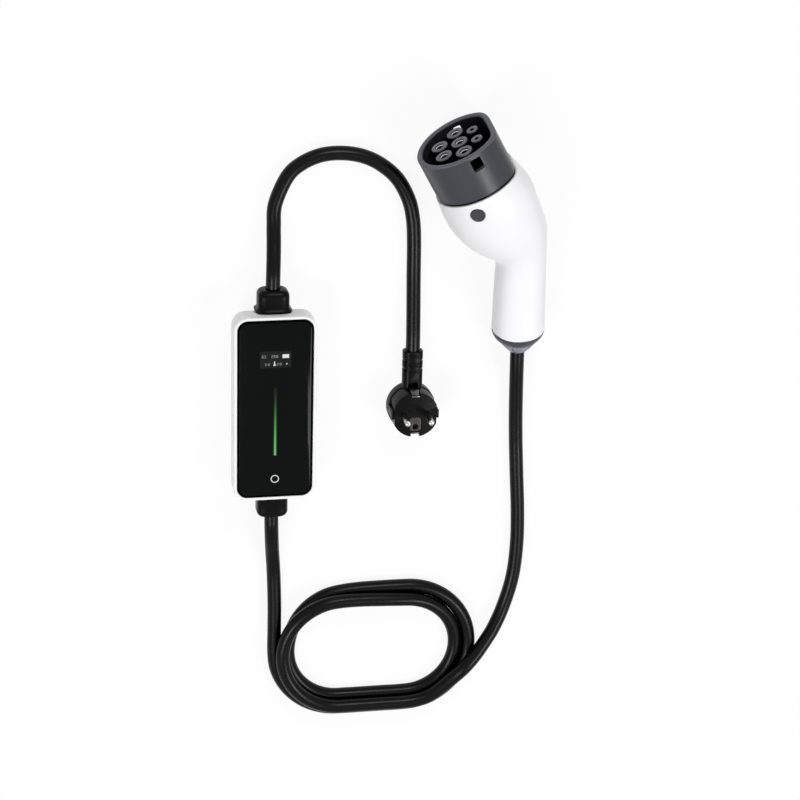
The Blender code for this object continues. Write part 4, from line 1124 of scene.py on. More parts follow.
@dataclass
class VehicleConnector:
    """The white bent grip with its dark shroud, contacts, cap and nut."""

    origin: tuple[float, float, float] = (0.19875, 0.03497, 0.01526)
    pitch: float = 8.5
    yaw: float = 3.0
    bend: float = 25.8
    centre: float = 0.0360
    rim: float = 0.1914
    collar: float = 0.1535
    radius: float = 0.03494
    flat: float = 0.02894
    wall: float = 0.0042
    corner: float = 0.006
    cavity: float = 0.0290
    tongue: float = 0.004
    tongue_inset: float = 0.0017
    seat: float = 0.0016
    edge: float = 0.0004
    rim_band: float = 0.0014
    rim_round: float = 0.0013
    shade_lining_drop: float = 0.0017
    window_drop: float = 0.0034
    near_window: tuple[float, float, float] = (0.0045, 0.0088, 0.0108)
    far_window: tuple[float, float, float] = (0.0033, 0.0056, 0.0080)
    tower_drop: float = 0.0020
    contacts: tuple[Contact, ...] = (
        Contact("power", ((0.0, (-1, 0, 1)), (-0.0152, (-0.5, 0.5))), 0.0066, 0.0037, 0.0041, 0.0011),
        Contact("signal", ((0.0130, (-0.5, 0.5)),), 0.0046, 0.0019, 0.0025, 0.0050),
    )
    proud: float = 0.0012
    shell_wall: float = 0.0026
    groove: tuple[float, float] = (0.0009, 0.00035)
    cap: float = 0.0200
    cap_width: float = 0.0182
    cap_steps: int = 14
    nut: float = 0.0097
    nut_radius: float = 0.0152
    nut_tip: float = 0.0075
    nut_bore: float = 0.0062
    nut_slots: int = 6
    nut_slot: tuple[float, float] = (0.0026, 0.0019)
    grip_half: float = 0.02125
    squareness: float = 0.86
    bow: float = 0.0042
    taper: float = 9.0
    badge_station: float = 0.93
    badge_turn: float = 112.0
    sections: tuple[tuple[float, ...], ...] = (
        (0.1742, -0.00935, 0.1578, 0.00438, 0.0185, 0.86, 0.0),
        (0.3331, -0.01839, 0.3155, 0.00880, 0.0192, 0.86, 0.0),
        (0.4272, -0.02341, 0.4606, 0.01292, 0.0205, 0.88, 0.0),
        (0.4831, -0.02224, 0.5491, 0.01524, 0.0232, 0.88, 0.05),
        (0.5427, -0.01569, 0.6260, 0.01647, 0.0272, 0.88, 0.15),
        (0.6288, -0.00837, 0.6966, 0.01505, 0.0308, 0.88, 0.3),
        (0.7477, -0.00222, 0.7878, 0.01286, 0.0339, 0.88, 0.5),
        (0.8719, 0.00022, 0.8758, 0.01057, 0.0356, 0.90, 0.8),
    )
    frame: Matrix = field(init=False)
    face: Matrix = field(init=False)
    flat_way: Vector = field(init=False)
    reach_way: Vector = field(init=False)

    def __post_init__(self) -> None:
        """Work out the grip's frame and the coupler's frame."""
        self.frame = Matrix.Translation(self.origin) @ leaned(self.pitch, self.yaw)
        bend = math.radians(self.bend)
        self.flat_way = Vector((math.cos(bend), math.sin(bend), 0))
        self.reach_way = Vector((-math.sin(bend), math.cos(bend), 0))
        self.face = self.frame @ Matrix.Translation(self.flat_way * self.centre) @ leaned(-90, self.bend)

    def build(self) -> None:
        """Make all of the connector's pieces."""
        self.shroud()
        self.shade_lining()
        self.seal()
        self.carrier()
        self.towers()
        self.shells()
        self.dome_cap()
        self.gland_nut()

    def rim_point(self, turn: float, radius: float, flat: float) -> tuple[float, float]:
        """A point of the round outline with its flat.

        Args:
            turn: The angle from the flat.
            radius: The outline's radius.
            flat: How far the flat is from the centre.

        Returns:
            The distance towards the flat and the distance across.
        """
        value = radius * math.cos(turn)
        share = clamp(0.5 + 0.5 * (flat - value) / self.corner)
        up = flat + (value - flat) * share - self.corner * share * (1 - share)
        return up, radius * math.sin(turn)

    def around(self, name: str, profile: Profile, closed: bool = True) -> Piece:
        """Carry a profile round the collar's outline.

        Args:
            name: The piece's name.
            profile: Points as the outline's inset and the height along the coupler.
            closed: Whether it is a ring; otherwise both ends are capped.

        Returns:
            The new piece, still at the coupler's centre.
        """
        rings = []
        for inset, height in profile:
            radius, flat = self.radius - inset, self.flat - inset
            outline = [self.rim_point(turn, radius, flat) for turn in full_turn(144)]
            rings.append([Vector((up, across, height)) for up, across in outline])
        return skin(name, rings, closed)

    def shroud(self) -> None:
        """The dark collar with its two lock windows, and its soft rim in a paler copy of the collar's
        plastic, as painted light.
        """
        root, start, step = self.collar - self.tongue, self.collar + self.seat, self.rim - self.rim_band
        piece = self.around("coupler_shroud", [
            (self.tongue_inset, root), (self.tongue_inset, start), (self.edge, start),
            (0, start + self.edge), (0, step), (self.wall, step), (self.wall, root)])
        combine(piece, self.lock_windows())
        place(piece, self.face)
        hand_over(piece, PALETTE.slate, ["connector_shroud"])
        fillet = quarter(self.rim_round)
        profile: Profile = [(0, step)]
        profile += [(inset, self.rim - drop) for inset, drop in fillet]
        profile += [(self.wall - inset, self.rim - drop) for inset, drop in reversed(fillet)]
        profile.append((self.wall, step))
        rim = place(self.around("shroud_rim_painted_light", profile), self.face)
        # Painted light: the rim takes a paler copy of the collar's plastic.
        hand_over(rim, PALETTE.rim)

    def shade_lining(self) -> None:
        """A thin dark sheet inside the shroud, from the carrier to just short of the rim: painted shade
        that darkens the shroud's inside.
        """
        low, high = self.rim - self.cavity + FIT, self.rim - self.shade_lining_drop
        inner, outer = self.wall + 0.00035, self.wall + 0.00002
        piece = self.around("shroud_shade_lining", [(inner, low), (outer, low), (outer, high), (inner, high)])
        combine(piece, self.lock_windows())
        place(piece, self.face)
        hand_over(piece, PALETTE.shade_lining)

    def lock_windows(self) -> Piece:
        """The cutter of the two lock windows, one on each side of the shroud.

        Returns:
            The cutter, at the coupler's centre.
        """
        depth = 0.06
        height = self.rim - self.window_drop - self.near_window[2] / 2
        cutters = []
        for side, (up, width, length) in ((-1, self.near_window), (1, self.far_window)):
            centre = (up, side * depth / 2, height)
            cutters.append(rounded_box("window", (width, depth, length), centre, 1, 0.0007, 4))
        near, far = cutters
        combine(near, far, "UNION")
        return near

    def seal(self) -> None:
        """The thin dark ring between the collar and the shells."""
        low, high = self.collar + FIT, self.collar + self.seat - FIT
        inner, outer = self.tongue_inset - 0.0001, self.edge / 2
        piece = self.around("collar_seal", [(inner, low), (inner, high), (outer, high), (outer, low)])
        place(piece, self.face)
        hand_over(piece, PALETTE.rubber, ["shroud_seal"])

    def carrier(self) -> None:
        """The black carrier plate with a sunk ring round each tower."""
        floor, fit, sunk = self.rim - self.cavity, self.wall + FIT, 0.0012
        plate = self.around("carrier_plate", [
            (fit, floor - self.tongue), (fit, floor - self.edge), (fit + self.edge, floor)], False)
        for contact in self.contacts:
            for spot in contact.places():
                combine(plate, cylinder("way", contact.outer + FIT, floor - sunk, floor + 0.01, spot, 48))
        place(plate, self.face)
        hand_over(plate, PALETTE.black, ["contact_carrier"])

    def towers(self) -> None:
        """The grey contact towers, black along their sides as painted shade, and the split metal sleeves in
        them.
        """
        floor, top = self.rim - self.cavity, self.rim - self.tower_drop
        stood_for = ["contact_block"]
        for contact in self.contacts:
            kind = contact.kind
            head, shaded_stem, sleeve = contact.head(top), contact.shaded_stem(top, floor), contact.sleeve(top, floor)
            for index, (up, across) in enumerate(contact.places(), 1):
                move = self.face @ Matrix.Translation((up, across, 0))
                hand_over(copied(head, f"{kind}_tower_head_{index}", move), PALETTE.tower,
                          stood_for)
                stood_for = []
                # Painted shade: the tower's sides take the black moulding in place of the tower's grey.
                hand_over(copied(shaded_stem, f"{kind}_tower_stem_{index}", move), PALETTE.black)
                hand_over(copied(sleeve, f"{kind}_sleeve_{index}", move), PALETTE.sleeve,
                          [f"{kind}_contact_{index}"])
            for pattern in (head, shaded_stem, sleeve):
                bpy.data.objects.remove(pattern, do_unlink=True)

    @staticmethod
    def beside(start: Vector, end: Vector, share: float, swell: float) -> Vector:
        """A point at a share of the way along a line in the middle plane, set off to its left."""
        way = (end - start).normalized()
        return start.lerp(end, share) + swell * Vector((-way.y, way.x, 0))

    def table(self) -> list[tuple[float, ...]]:
        """Work out the grip's sections from the cap to the collar.

        Returns:
            Rows of belly x and y, back x and y, half width, squareness and likeness to the collar.
        """
        radius = self.radius + self.proud
        ends = self.collar * self.reach_way
        belly = (Vector((-self.grip_half, self.cap, 0)), (self.centre - radius) * self.flat_way + ends)
        back = (Vector((self.grip_half, self.cap, 0)),
                (self.centre + self.flat + self.proud) * self.flat_way + ends)
        first = (0.0, 0.0, 0.0, 0.0, self.cap_width, self.squareness, 0.0)
        last = (1.0, 0.0, 1.0, 0.0, radius, 1.0, 1.0)
        rows = []
        for belly_share, belly_swell, back_share, back_swell, *form in (first, *self.sections, last):
            low = self.beside(*belly, belly_share, belly_swell)
            high = self.beside(*back, back_share, -back_swell)
            rows.append((low.x, low.y, high.x, high.y, *form))
        return rows

    def grip_point(self, station: float, turn: float, shrink: float = 0.0) -> Vector:
        """A point of the grip's surface in its own frame.

        Args:
            station: 0 at the cap, 1 at the collar.
            turn: The angle from the grip's back.
            shrink: How far the point is drawn in.

        Returns:
            The point.
        """
        table = self.table()
        at = station * (len(table) - 1)
        bx, by, kx, ky, width, square, likeness = [curve_value([r[c] for r in table], at) for c in range(7)]
        belly, back = Vector((bx, by, 0)), Vector((kx, ky, 0))
        half = (back - belly).length / 2
        up, across = soft_oval(turn, square)
        radius, flat = self.radius + self.proud, self.flat + self.proud
        like_up, like_across = self.rim_point(turn, radius, flat)
        like_up = (like_up + (radius - flat) / 2) / ((radius + flat) / 2)
        up += (like_up - up) * likeness
        across += (like_across / radius - across) * likeness
        way = (back - belly).normalized()
        return (belly + back) / 2 + way * up * (half - shrink) + Vector((0, 0, across * (width - shrink)))

    def skin_point(self, station: float, turn: float) -> Vector:
        """A point of a shell's outside, drawn in a little where the two shells meet.

        Args:
            station: 0 at the cap, 1 at the collar.
            turn: The angle from the grip's back.

        Returns:
            The point.
        """
        width, depth = self.groove
        near = max(0.0, 1 - self.grip_point(station, turn).z / width)
        return self.grip_point(station, turn, 0.0001 + depth * near * near)

    def shells(self, stations: int = 96, count: int = 44) -> None:
        """The two white half shells with a fine groove where they meet.

        Args:
            stations: How many steps lie between the cap and the collar.
            count: How many steps lie between a shell's two edges.
        """
        for name, sign, node in (("left_shell", 1, "shell_left"), ("right_shell", -1, "shell_right")):
            rings = []
            for index in range(stations + 1):
                station = index / stations
                angles = [math.pi * step / count for step in range(count + 1)]
                ring = [self.skin_point(station, turn) for turn in angles]
                ring += [self.grip_point(station, turn, self.shell_wall) for turn in reversed(angles)]
                for point in ring:
                    point.z = sign * max(point.z, FIT / 2)
                rings.append(ring)
            piece = skin(name, self.apron(rings[0]) + rings)
            if sign > 0:
                self.badge(piece)
            place(piece, self.frame)
            hand_over(piece, PALETTE.white, [node], 40)

    def apron(self, edge: list[Vector], steps: int = 5) -> list[list[Vector]]:
        """The grip's bowed end, which reaches over the cap in the middle of its width.

        Args:
            edge: The shell's straight end.
            steps: How many rings it has.

        Returns:
            The rings, from the bowed edge to just before the straight end.
        """
        rings = []
        for step in range(steps, 0, -1):
            ring = []
            for point in edge:
                sag = self.sag(point.z / self.cap_width) * (step / steps) + 0.00002 * step
                size = 1 - self.taper * sag
                ring.append(Vector((point.x * size, point.y - sag, point.z * size)))
            rings.append(ring)
        return rings

    def sag(self, across: float) -> float:
        """How far the grip's end is bowed at a share of its half width."""
        return self.bow * min(across * across, 1.0)

    def badge(self, shell: Piece) -> None:
        """The plain round plug in the left shell, and the seat it sits in.

        Args:
            shell: The left shell, still in the grip's frame.
        """
        station, angle, nudge = self.badge_station, math.radians(self.badge_turn), 0.01
        point = self.grip_point(station, angle)
        along = self.grip_point(station + nudge, angle) - point
        round_way = self.grip_point(station, angle + nudge) - point
        normal = along.cross(round_way).normalized()
        if normal.z < 0:
            normal.negate()
        lie = Matrix.Translation(point) @ normal.to_track_quat("Z", "Y").to_matrix().to_4x4()
        combine(shell, place(cylinder("seat", 0.0061, -0.0012, 0.003, segments=64), lie))
        plug = turned("badge_disc", [(0, 0.0), (0.0042, 0.0), (0.0045, 0.00035), (0.0053, 0.00035),
                                     (0.0057, 0.00005), (0.0058, -0.0011), (0, -0.0011)])
        place(plug, self.frame @ lie)
        hand_over(plug, PALETTE.slate, ["badge_plug"])

    def cap_ring(self, half: float, width: float, reach: float, square: float,
                 bowed: float = 0.0) -> list[Vector]:
        """A soft oblong ring across the cable's axis.

        Args:
            half: Its half size in the grip's middle plane.
            width: Its half width.
            reach: Its distance from the nut's end.
            square: 1 for an ellipse, less for squarer corners.
            bowed: How much of the grip's bowed end it follows, from 0 to 1.

        Returns:
            The ring's points.
        """
        points = []
        for turn in full_turn(96):
            up, across = soft_oval(turn, square)
            sag = self.sag(across) * bowed
            size = 1 - self.taper * sag
            points.append(Vector((half * size * up, reach - sag, width * size * across)))
        return points

    def dome_cap(self) -> None:
        """The domed cap that closes the grip's end."""
        low, edge, small = self.nut, self.cap - FIT, self.nut_radius
        half, width = self.grip_half - 0.0001, self.cap_width - 0.0001
        inner = self.nut_bore + 0.002
        rings = [self.cap_ring(inner, inner, low + 0.001, 1.0), self.cap_ring(small, small, low, 1.0)]
        for step in range(1, self.cap_steps + 1):
            share = step / self.cap_steps
            swell = math.sin(math.pi / 2 * share) ** 0.62
            rings.append(self.cap_ring(small + (half - small) * swell, small + (width - small) * swell,
                                       low + (edge - low) * share, 1.0 + (self.squareness - 1.0) * share,
                                       share ** 2))
        for shrink, rise in ((0.0022, 0.0002), (0.0034, 0.0002), (0.0035, 0.004), (0.010, 0.004)):
            rings.append(self.cap_ring(half - shrink, width - shrink, edge + rise, self.squareness, 1.0))
        cap = place(skin("dome_cap", rings, closed=True), self.frame)
        hand_over(cap, PALETTE.slate, ["end_cap"])

    def gland_nut(self) -> None:
        """The fluted nut that the cable leaves through."""
        face, steps, curve = self.nut - FIT, 10, 1.15
        shoulder, soft = self.nut_radius - 0.0002, 0.0004
        profile: Profile = [(self.nut_bore, face), (self.nut_radius - 0.0005, face),
                            (shoulder, face - soft)]
        for step in range(1, steps + 1):
            share = step / steps
            radius = shoulder + (self.nut_tip - self.nut_radius) * share ** curve
            profile.append((radius, (face - soft) * (1 - share)))
        profile.append((self.nut_bore, 0.0003))
        nut = turned("gland_nut", profile, 144)
        slope = math.atan2(self.nut_radius - self.nut_tip, face)
        reach = Matrix.Translation(((self.nut_radius + self.nut_tip) / 2, 0, face * 0.42))
        for index in range(self.nut_slots):
            turn = math.tau * (index + 0.5) / self.nut_slots + math.pi / 2
            slot = cube("slot", (*self.nut_slot, face * 1.15))
            lie = Matrix.Rotation(turn, 4, "Z") @ reach @ Matrix.Rotation(slope, 4, "Y")
            combine(nut, place(slot, lie))
        place(nut, self.frame @ leaned(-90))
        hand_over(nut, PALETTE.nut, ["cable_nut"])


# Mains plug


@dataclass
class MainsPlug:
    """The moulded angled plug, lying on its back with its pins up."""

    spot: tuple[float, float] = (0.1142, -0.0128)
    radius: float = 0.0188
    flat: float = 0.0170
    height: float = 0.0290
    face_round: float = 0.0007
    back: float = 0.0120
    back_radius: float = 0.0195
    back_rounds: tuple[float, float] = (0.0030, 0.0012)
    guide: float = 0.0068
    guide_reach: float = 0.0192
    pin_pitch: float = 0.0190
    pin_radius: float = 0.0024
    pin_length: float = 0.0190
    pin_root: float = 0.0055
    earth_width: float = 0.0066
    channel: float = 0.0040
    pocket: tuple[float, float, float] = (0.0096, 0.0121, 0.006)
    block: tuple[float, float, float] = (0.0090, 0.0115, 0.0028)
    block_y: float = -0.0078
    earth_hole: tuple[float, float] = (0.0025, -0.0100)
    relief_reach: float = 0.0490
    relief_radius: float = 0.0082
    relief_flatness: float = 0.82
    relief_square: float = 0.8
    relief_height: float = 0.0100
    relief_rings: tuple[float, ...] = (0.0300, 0.0180, 0.0094)
    notches: tuple[float, ...] = (0.0410, 0.0337)
    notch: tuple[float, float] = (0.0066, 0.0021)
    grooves: tuple[float, ...] = (0.0460, 0.0374, 0.0320)
    panel_y: float = 0.0245
    panel: float = 0.0120

    def build(self) -> list[Piece]:
        """Make the plug.

        Returns:
            All its pieces.
        """
        return [self.body(), *self.pins(), *self.earth_springs(), self.earth_block()]

    def settled(self, piece: Piece) -> Piece:
        """Move a piece from the plug's own middle to where the plug lies."""
        return place(piece, Matrix.Translation((*self.spot, 0)))

    def body(self) -> Piece:
        """The black body: round back, face part with flats and guides, and ribbed relief.

        Returns:
            The body.
        """
        top, beyond = self.height, self.height + 0.01
        back = turned("plug_back", self.back_profile(), 96)
        combine(back, self.face_part(), "UNION")
        combine(back, self.relief(), "UNION")
        for sign in (1, -1):
            combine(back, cube("channel", (self.earth_width + 0.0006, self.channel * 2, top * 2),
                               (0, sign * self.radius, self.back + top)))
            spot = (sign * self.pin_pitch / 2, 0)
            combine(back, cylinder("way", self.pin_radius + 0.0003, top - 0.005, beyond, spot, 40))
        combine(back, rounded_box("pocket", self.pocket, (0, self.block_y, top), 2, 0.0022, 5))
        return hand_over(self.settled(back), PALETTE.rubber, ["plug_body"])

    def back_profile(self) -> Profile:
        """The outer side of the round back, softened at both rims.

        Returns:
            Its radii and heights, from the top down.
        """
        low_round, high_round = self.back_rounds
        low = [(self.back_radius - inset, drop) for inset, drop in quarter(low_round, 8)]
        high = [(self.back_radius - inset, self.back - drop)
                for inset, drop in reversed(quarter(high_round, 5))]
        return [(0, self.back), *high, *low, (0, 0)]

    def face_part(self) -> Piece:
        """The face part with its two flats and its guides.

        Returns:
            The face part, at the plug's own middle.
        """
        top, low = self.height, self.back - 0.001
        rim = [(self.radius - inset, top - drop) for inset, drop in reversed(quarter(self.face_round, 4))]
        face = turned("face_part", [(0, top), *rim, (self.radius, low), (0, low)], 96)
        for sign in (1, -1):
            combine(face, cube("side", (0.02, 0.06, 0.06), (sign * (self.flat + 0.01), 0, top)))
        guide = cube("guide", (self.guide_reach * 2, self.guide, top - self.back),
                     (0, 0, (top + self.back) / 2 - 0.0008))
        soften(guide, 0.0005, 2)
        combine(face, guide, "UNION")
        return face

    def relief(self) -> Piece:
        """The oblong strain relief, with two notches in each side and fine grooves between them.

        Returns:
            The relief, at the plug's own middle.
        """
        half, soft = self.relief_radius, 0.0009
        above = half * self.relief_flatness + CUTTER / 2
        ends = [(half - inset, self.relief_reach - drop) for inset, drop in reversed(quarter(soft, 4))]
        ends += [(half, reach) for reach in self.relief_rings]
        piece = skin("relief", [self.relief_ring(radius, reach) for radius, reach in ends])
        for reach in self.notches:
            for sign in (1, -1):
                combine(piece, cube("notch", (*self.notch, CUTTER), (sign * (half + 0.0003), reach, 0)))
        for reach in self.grooves:
            combine(piece, cube("groove", (half * 1.3, 0.0007, CUTTER), (0, reach, above - 0.0006)))
        combine(piece, rounded_box("panel", (half * 1.35, self.panel, CUTTER),
                                   (0, self.panel_y, above - 0.0005), 2, 0.0012, 4))
        soften(piece, 0.00025, 2, 40)
        return place(piece, Matrix.Translation((0, 0, self.relief_height)))

    def relief_ring(self, half: float, reach: float) -> list[Vector]:
        """The relief's soft oblong outline.

        Args:
            half: Half its width.
            reach: Its distance from the plug's middle.

        Returns:
            The outline's points.
        """
        outline = [soft_oval(turn, self.relief_square) for turn in full_turn(48)]
        return [Vector((half * x, reach, half * self.relief_flatness * z)) for x, z in outline]

    def pins(self) -> list[Piece]:
        """The two round pins.

        Returns:
            Both pins.
        """
        made = []
        tip, low = self.height + self.pin_length, self.height - self.pin_root
        soft = [(self.pin_radius - i, tip - d) for i, d in reversed(quarter(self.pin_radius * 0.75, 8))]
        profile: Profile = [(0, tip), *soft, (self.pin_radius, low), (0, low)]
        for index, sign in enumerate((-1, 1), 1):
            pin = turned(f"round_pin_{index}", profile, 48)
            place(pin, Matrix.Translation((sign * self.pin_pitch / 2, 0, 0)))
            made.append(hand_over(self.settled(pin), PALETTE.plated, [f"plug_pin_{index}"]))
        return made

    def earth_springs(self, steps: int = 24) -> list[Piece]:
        """The two bowed earth springs.

        Args:
            steps: How many steps lie along a spring.

        Returns:
            Both springs.
        """
        made = []
        low, high = self.back + FIT, self.height - FIT
        half, thickness = self.earth_width / 2, 0.001
        inner = self.radius - self.channel + FIT + thickness
        for side, sign in (("near", 1), ("far", -1)):
            rings = []
            for step in range(steps + 1):
                share = step / steps
                y = inner + self.channel * 0.75 * math.sin(math.pi * share) ** 2
                z = low + (high - low) * share
                outline = ((-half, y - thickness), (half, y - thickness), (half, y), (-half, y))
                rings.append([Vector((across, sign * out, z)) for across, out in outline])
            spring = skin(f"earth_spring_{side}", rings)
            soften(spring, 0.0002, 2, 60)
            made.append(hand_over(self.settled(spring), PALETTE.spring,
                                  [f"earth_clip_{side}"]))
        return made

    def earth_block(self) -> Piece:
        """The earth socket's block.

        Returns:
            The block.
        """
        top = self.height
        centre = (0, self.block_y, top - self.block[2] / 2)
        block = rounded_box("earth_block", self.block, centre, 2, 0.0021, 5)
        radius, y = self.earth_hole
        combine(block, cylinder("hole", radius, top - 0.010, top + 0.01, (0, y), 40))
        soften(block, 0.0002, 2, 50)
        return hand_over(self.settled(block), PALETTE.earth, ["earth_socket"])


# Leads


class FarEnd(Enum):
    """What is on a lead's far end."""

    PLUG = "plug"
    OBJECT = "object"


@dataclass
class Coil:
    """The flat oval coil: two turns side by side on the floor, and a front pass on top of them."""

    centre: tuple[float, float] = (0.0870, -0.2280)
    half_run: float = 0.02775
    outer: float = 0.0544
    turns: float = 2.375
    steps: int = 30
    step_in: tuple[float, float] = (0.75, 0.25)
    climb: tuple[float, float] = (1.5, 0.3)
    lift: float = 60.0

    def strand_radius(self, turn: float) -> float:
        """The radius of the strand on the floor at a turn count."""
        start, run = self.step_in
        return self.outer - CABLE * ease((turn - start) / run)

    def point(self, turn: float) -> Vector:
        """A point of the coil's line.

        Args:
            turn: How many turns have been laid, 0 where the lead comes in on the left.

        Returns:
            The point.
        """
        start, run = self.climb
        climb = ease((turn - start) / run)
        if climb == 0.0:
            return self.on_oval(turn, self.strand_radius(turn), LYING)
        lift = math.radians(self.lift) * climb
        radius = self.outer - CABLE * math.cos(lift)
        height = LYING + CABLE * math.sin(lift)
        apart = abs(radius - self.strand_radius(turn % 1.0))
        if climb == 1.0 and apart < CABLE:
            height = LYING + math.sqrt(CABLE ** 2 - apart ** 2)
        return self.on_oval(turn, radius, height)

    def on_oval(self, turn: float, radius: float, height: float) -> Vector:
        """A point of a long round track, counted from its left end down and round.

        Args:
            turn: How many turns have been laid.
            radius: The radius of the track's ends.
            height: The point's height.

        Returns:
            The point.
        """
        x, y = self.centre
        arc = math.pi / 2 * self.outer
        lengths = (arc, 2 * self.half_run, 2 * arc, 2 * self.half_run, arc)
        along = (turn % 1.0) * sum(lengths)
        corners = ((-1, math.pi), (0, 0), (1, -math.pi / 2), (0, 0), (-1, math.pi / 2))
        for index, (length, (side, start)) in enumerate(zip(lengths, corners)):
            if along > length and index < 4:
                along -= length
                continue
            share = along / length
            if side:
                angle = start + share * length / self.outer
                return Vector((x + side * self.half_run + radius * math.cos(angle),
                               y + radius * math.sin(angle), height))
            way = 1 if index == 1 else -1
            return Vector((x - way * self.half_run + way * share * length, y - way * radius, height))
        return Vector((x, y, height))

    def line(self) -> list[Vector]:
        """The coil's points from its start to where the lead leaves it."""
        count = round(self.turns * self.steps)
        return [self.point(self.turns * index / count) for index in range(1, count + 1)]


@dataclass
class Lead:
    """One free cord of the object, as a round tube along its route."""

    name: str
    start: Vector
    start_way: Vector
    end: Vector
    end_way: Vector
    stands_for: tuple[str, ...]
    length: float
    far_end: FarEnd
    route: list[Sequence[float]]
    square_run: float = 0.004

    def build(self, with_pieces: Sequence[Piece] = ()) -> Piece:
        """Args:
            with_pieces: The separate pieces on it; not used.

        Returns:
            The cord.
        """
        points = [self.start + self.start_way * self.square_run, *self.route,
                  self.end - self.end_way * self.square_run]
        line = [self.start, *smooth_route(points, LYING), self.end]
        curve = bpy.data.curves.new(self.name, "CURVE")
        curve.dimensions = "3D"
        curve.bevel_depth = CABLE / 2
        curve.bevel_resolution = 8
        curve.use_fill_caps = True
        spline = curve.splines.new("POLY")
        spline.points.add(len(line) - 1)
        for spot, point in zip(spline.points, line):
            spot.co = (*point, 1.0)
        spline.use_smooth = True
        piece = link(self.name, curve)
        log.info("%s: %.3f m along its line", self.name, route_length(line))
        hand_over(piece, PALETTE.jacket, self.stands_for)
        return piece


def mains_lead(box: ControlBox, plug: MainsPlug) -> Lead:
    """The short lead from the control box to the mains plug.

    Args:
        box: The control box.
        plug: The mains plug.

    Returns:
        The lead.
    """
    floor = CABLE / 2
    route = [(0.0002, 0.1070, 0.0176), (0.0008, 0.1190, 0.0148), (0.0015, 0.1310, 0.0102),
             (0.0018, 0.1430, 0.0070), (0.0030, 0.1600, floor), (0.0120, 0.1810, floor),
             (0.0226, 0.1912, floor), (0.0377, 0.1978, floor), (0.0541, 0.1992, floor),
             (0.0706, 0.1965, floor), (0.0854, 0.1894, floor), (0.0990, 0.1773, floor),
             (0.1082, 0.1607, floor), (0.1122, 0.1447, floor), (0.1136, 0.1260, floor),
             (0.1140, 0.0980, 0.0060), (0.1142, 0.0700, 0.0080), (0.1142, 0.0500, 0.0098)]
    start = Vector((0, box.length / 2 + box.boot_lengths[0] + FIT, box.seam))
    end = Vector((plug.spot[0], plug.spot[1] + plug.relief_reach + FIT, plug.relief_height))
    return Lead("mains_cord", start, Vector((0, 1, 0)), end, Vector((0, -1, 0)), ("mains_lead",),
                0.333, FarEnd.PLUG, route)


def vehicle_lead(box: ControlBox, connector: VehicleConnector, coil: Coil) -> Lead:
    """The long lead from the control box through the coil to the connector's nut.

    Args:
        box: The control box.
        connector: The vehicle connector.
        coil: The coil between them.

    Returns:
        The lead.
    """
    floor = LYING
    entry_x = coil.centre[0] - coil.half_run - coil.outer
    route: list[Sequence[float]] = [
        (0.0002, -0.1090, 0.0176), (0.0010, -0.1220, 0.0145), (0.0022, -0.1350, 0.0098),
        (0.0034, -0.1480, 0.0068), (0.0042, -0.1620, floor), (entry_x, -0.1850, floor),
        (entry_x, -0.2050, floor), (entry_x, coil.centre[1], floor)]
    route += coil.line()
    route += [(0.1560, -0.2557, 0.0164), (0.1645, -0.2471, 0.0173), (0.1735, -0.2375, 0.0152),
              (0.1818, -0.2272, 0.0120), (0.1900, -0.2150, 0.0092), (0.1984, -0.1960, 0.0066),
              (0.2052, -0.1700, floor), (0.2076, -0.1400, floor), (0.2070, -0.1100, floor),
              (0.2050, -0.0800, floor), (0.2032, -0.0520, floor), (0.2016, -0.0260, 0.0076),
              (0.2003, -0.0020, 0.0106), (0.1992, 0.0200, 0.0138)]
    start = Vector((0, -box.length / 2 - box.boot_lengths[1] - FIT, box.seam))
    grip_way = connector.frame.to_3x3() @ Vector((0, 1, 0))
    end = Vector(connector.origin) + grip_way * 0.004
    nodes = ("vehicle_lead_box_side", "vehicle_lead_coil", "vehicle_lead_connector_side")
    return Lead("vehicle_cord", start, Vector((0, -1, 0)), end, grip_way, nodes,
                1.459, FarEnd.OBJECT, route)


# Hidden parts


@dataclass
class Innards:
    """The CAD nodes inside the housings, which keep their shape and get finishes."""

    nodes: dict[str, Piece]

    FINISHES = {"board_standoff": PALETTE.brass, "relay": PALETTE.relay, "capacitor": PALETTE.part,
                "power_supply": PALETTE.part, "residual_current": PALETTE.part,
                "terminal_block": PALETTE.part, "display_module": PALETTE.part,
                "touch_sensor": PALETTE.brass, "front_board": PALETTE.board, "main_board": PALETTE.board,
                "housing_screw": PALETTE.steel, "cable_clamp": PALETTE.steel,
                "cable_end": PALETTE.jacket, "core_wire": PALETTE.core}

    def dress(self) -> None:
        """Give each inner node its finish."""
        for name, node in self.nodes.items():
            for start, finish in self.FINISHES.items():
                if name.startswith(start):
                    node.data.materials.clear()
                    node.data.materials.append(material_of(finish))
                    log.info("%s: dressed as %s", name, finish.name)


# Studio


@dataclass(frozen=True)
class Lamp:
    """A soft rectangular lamp."""

    name: str
    spot: tuple[float, float, float]
    size: tuple[float, float]
    power: float


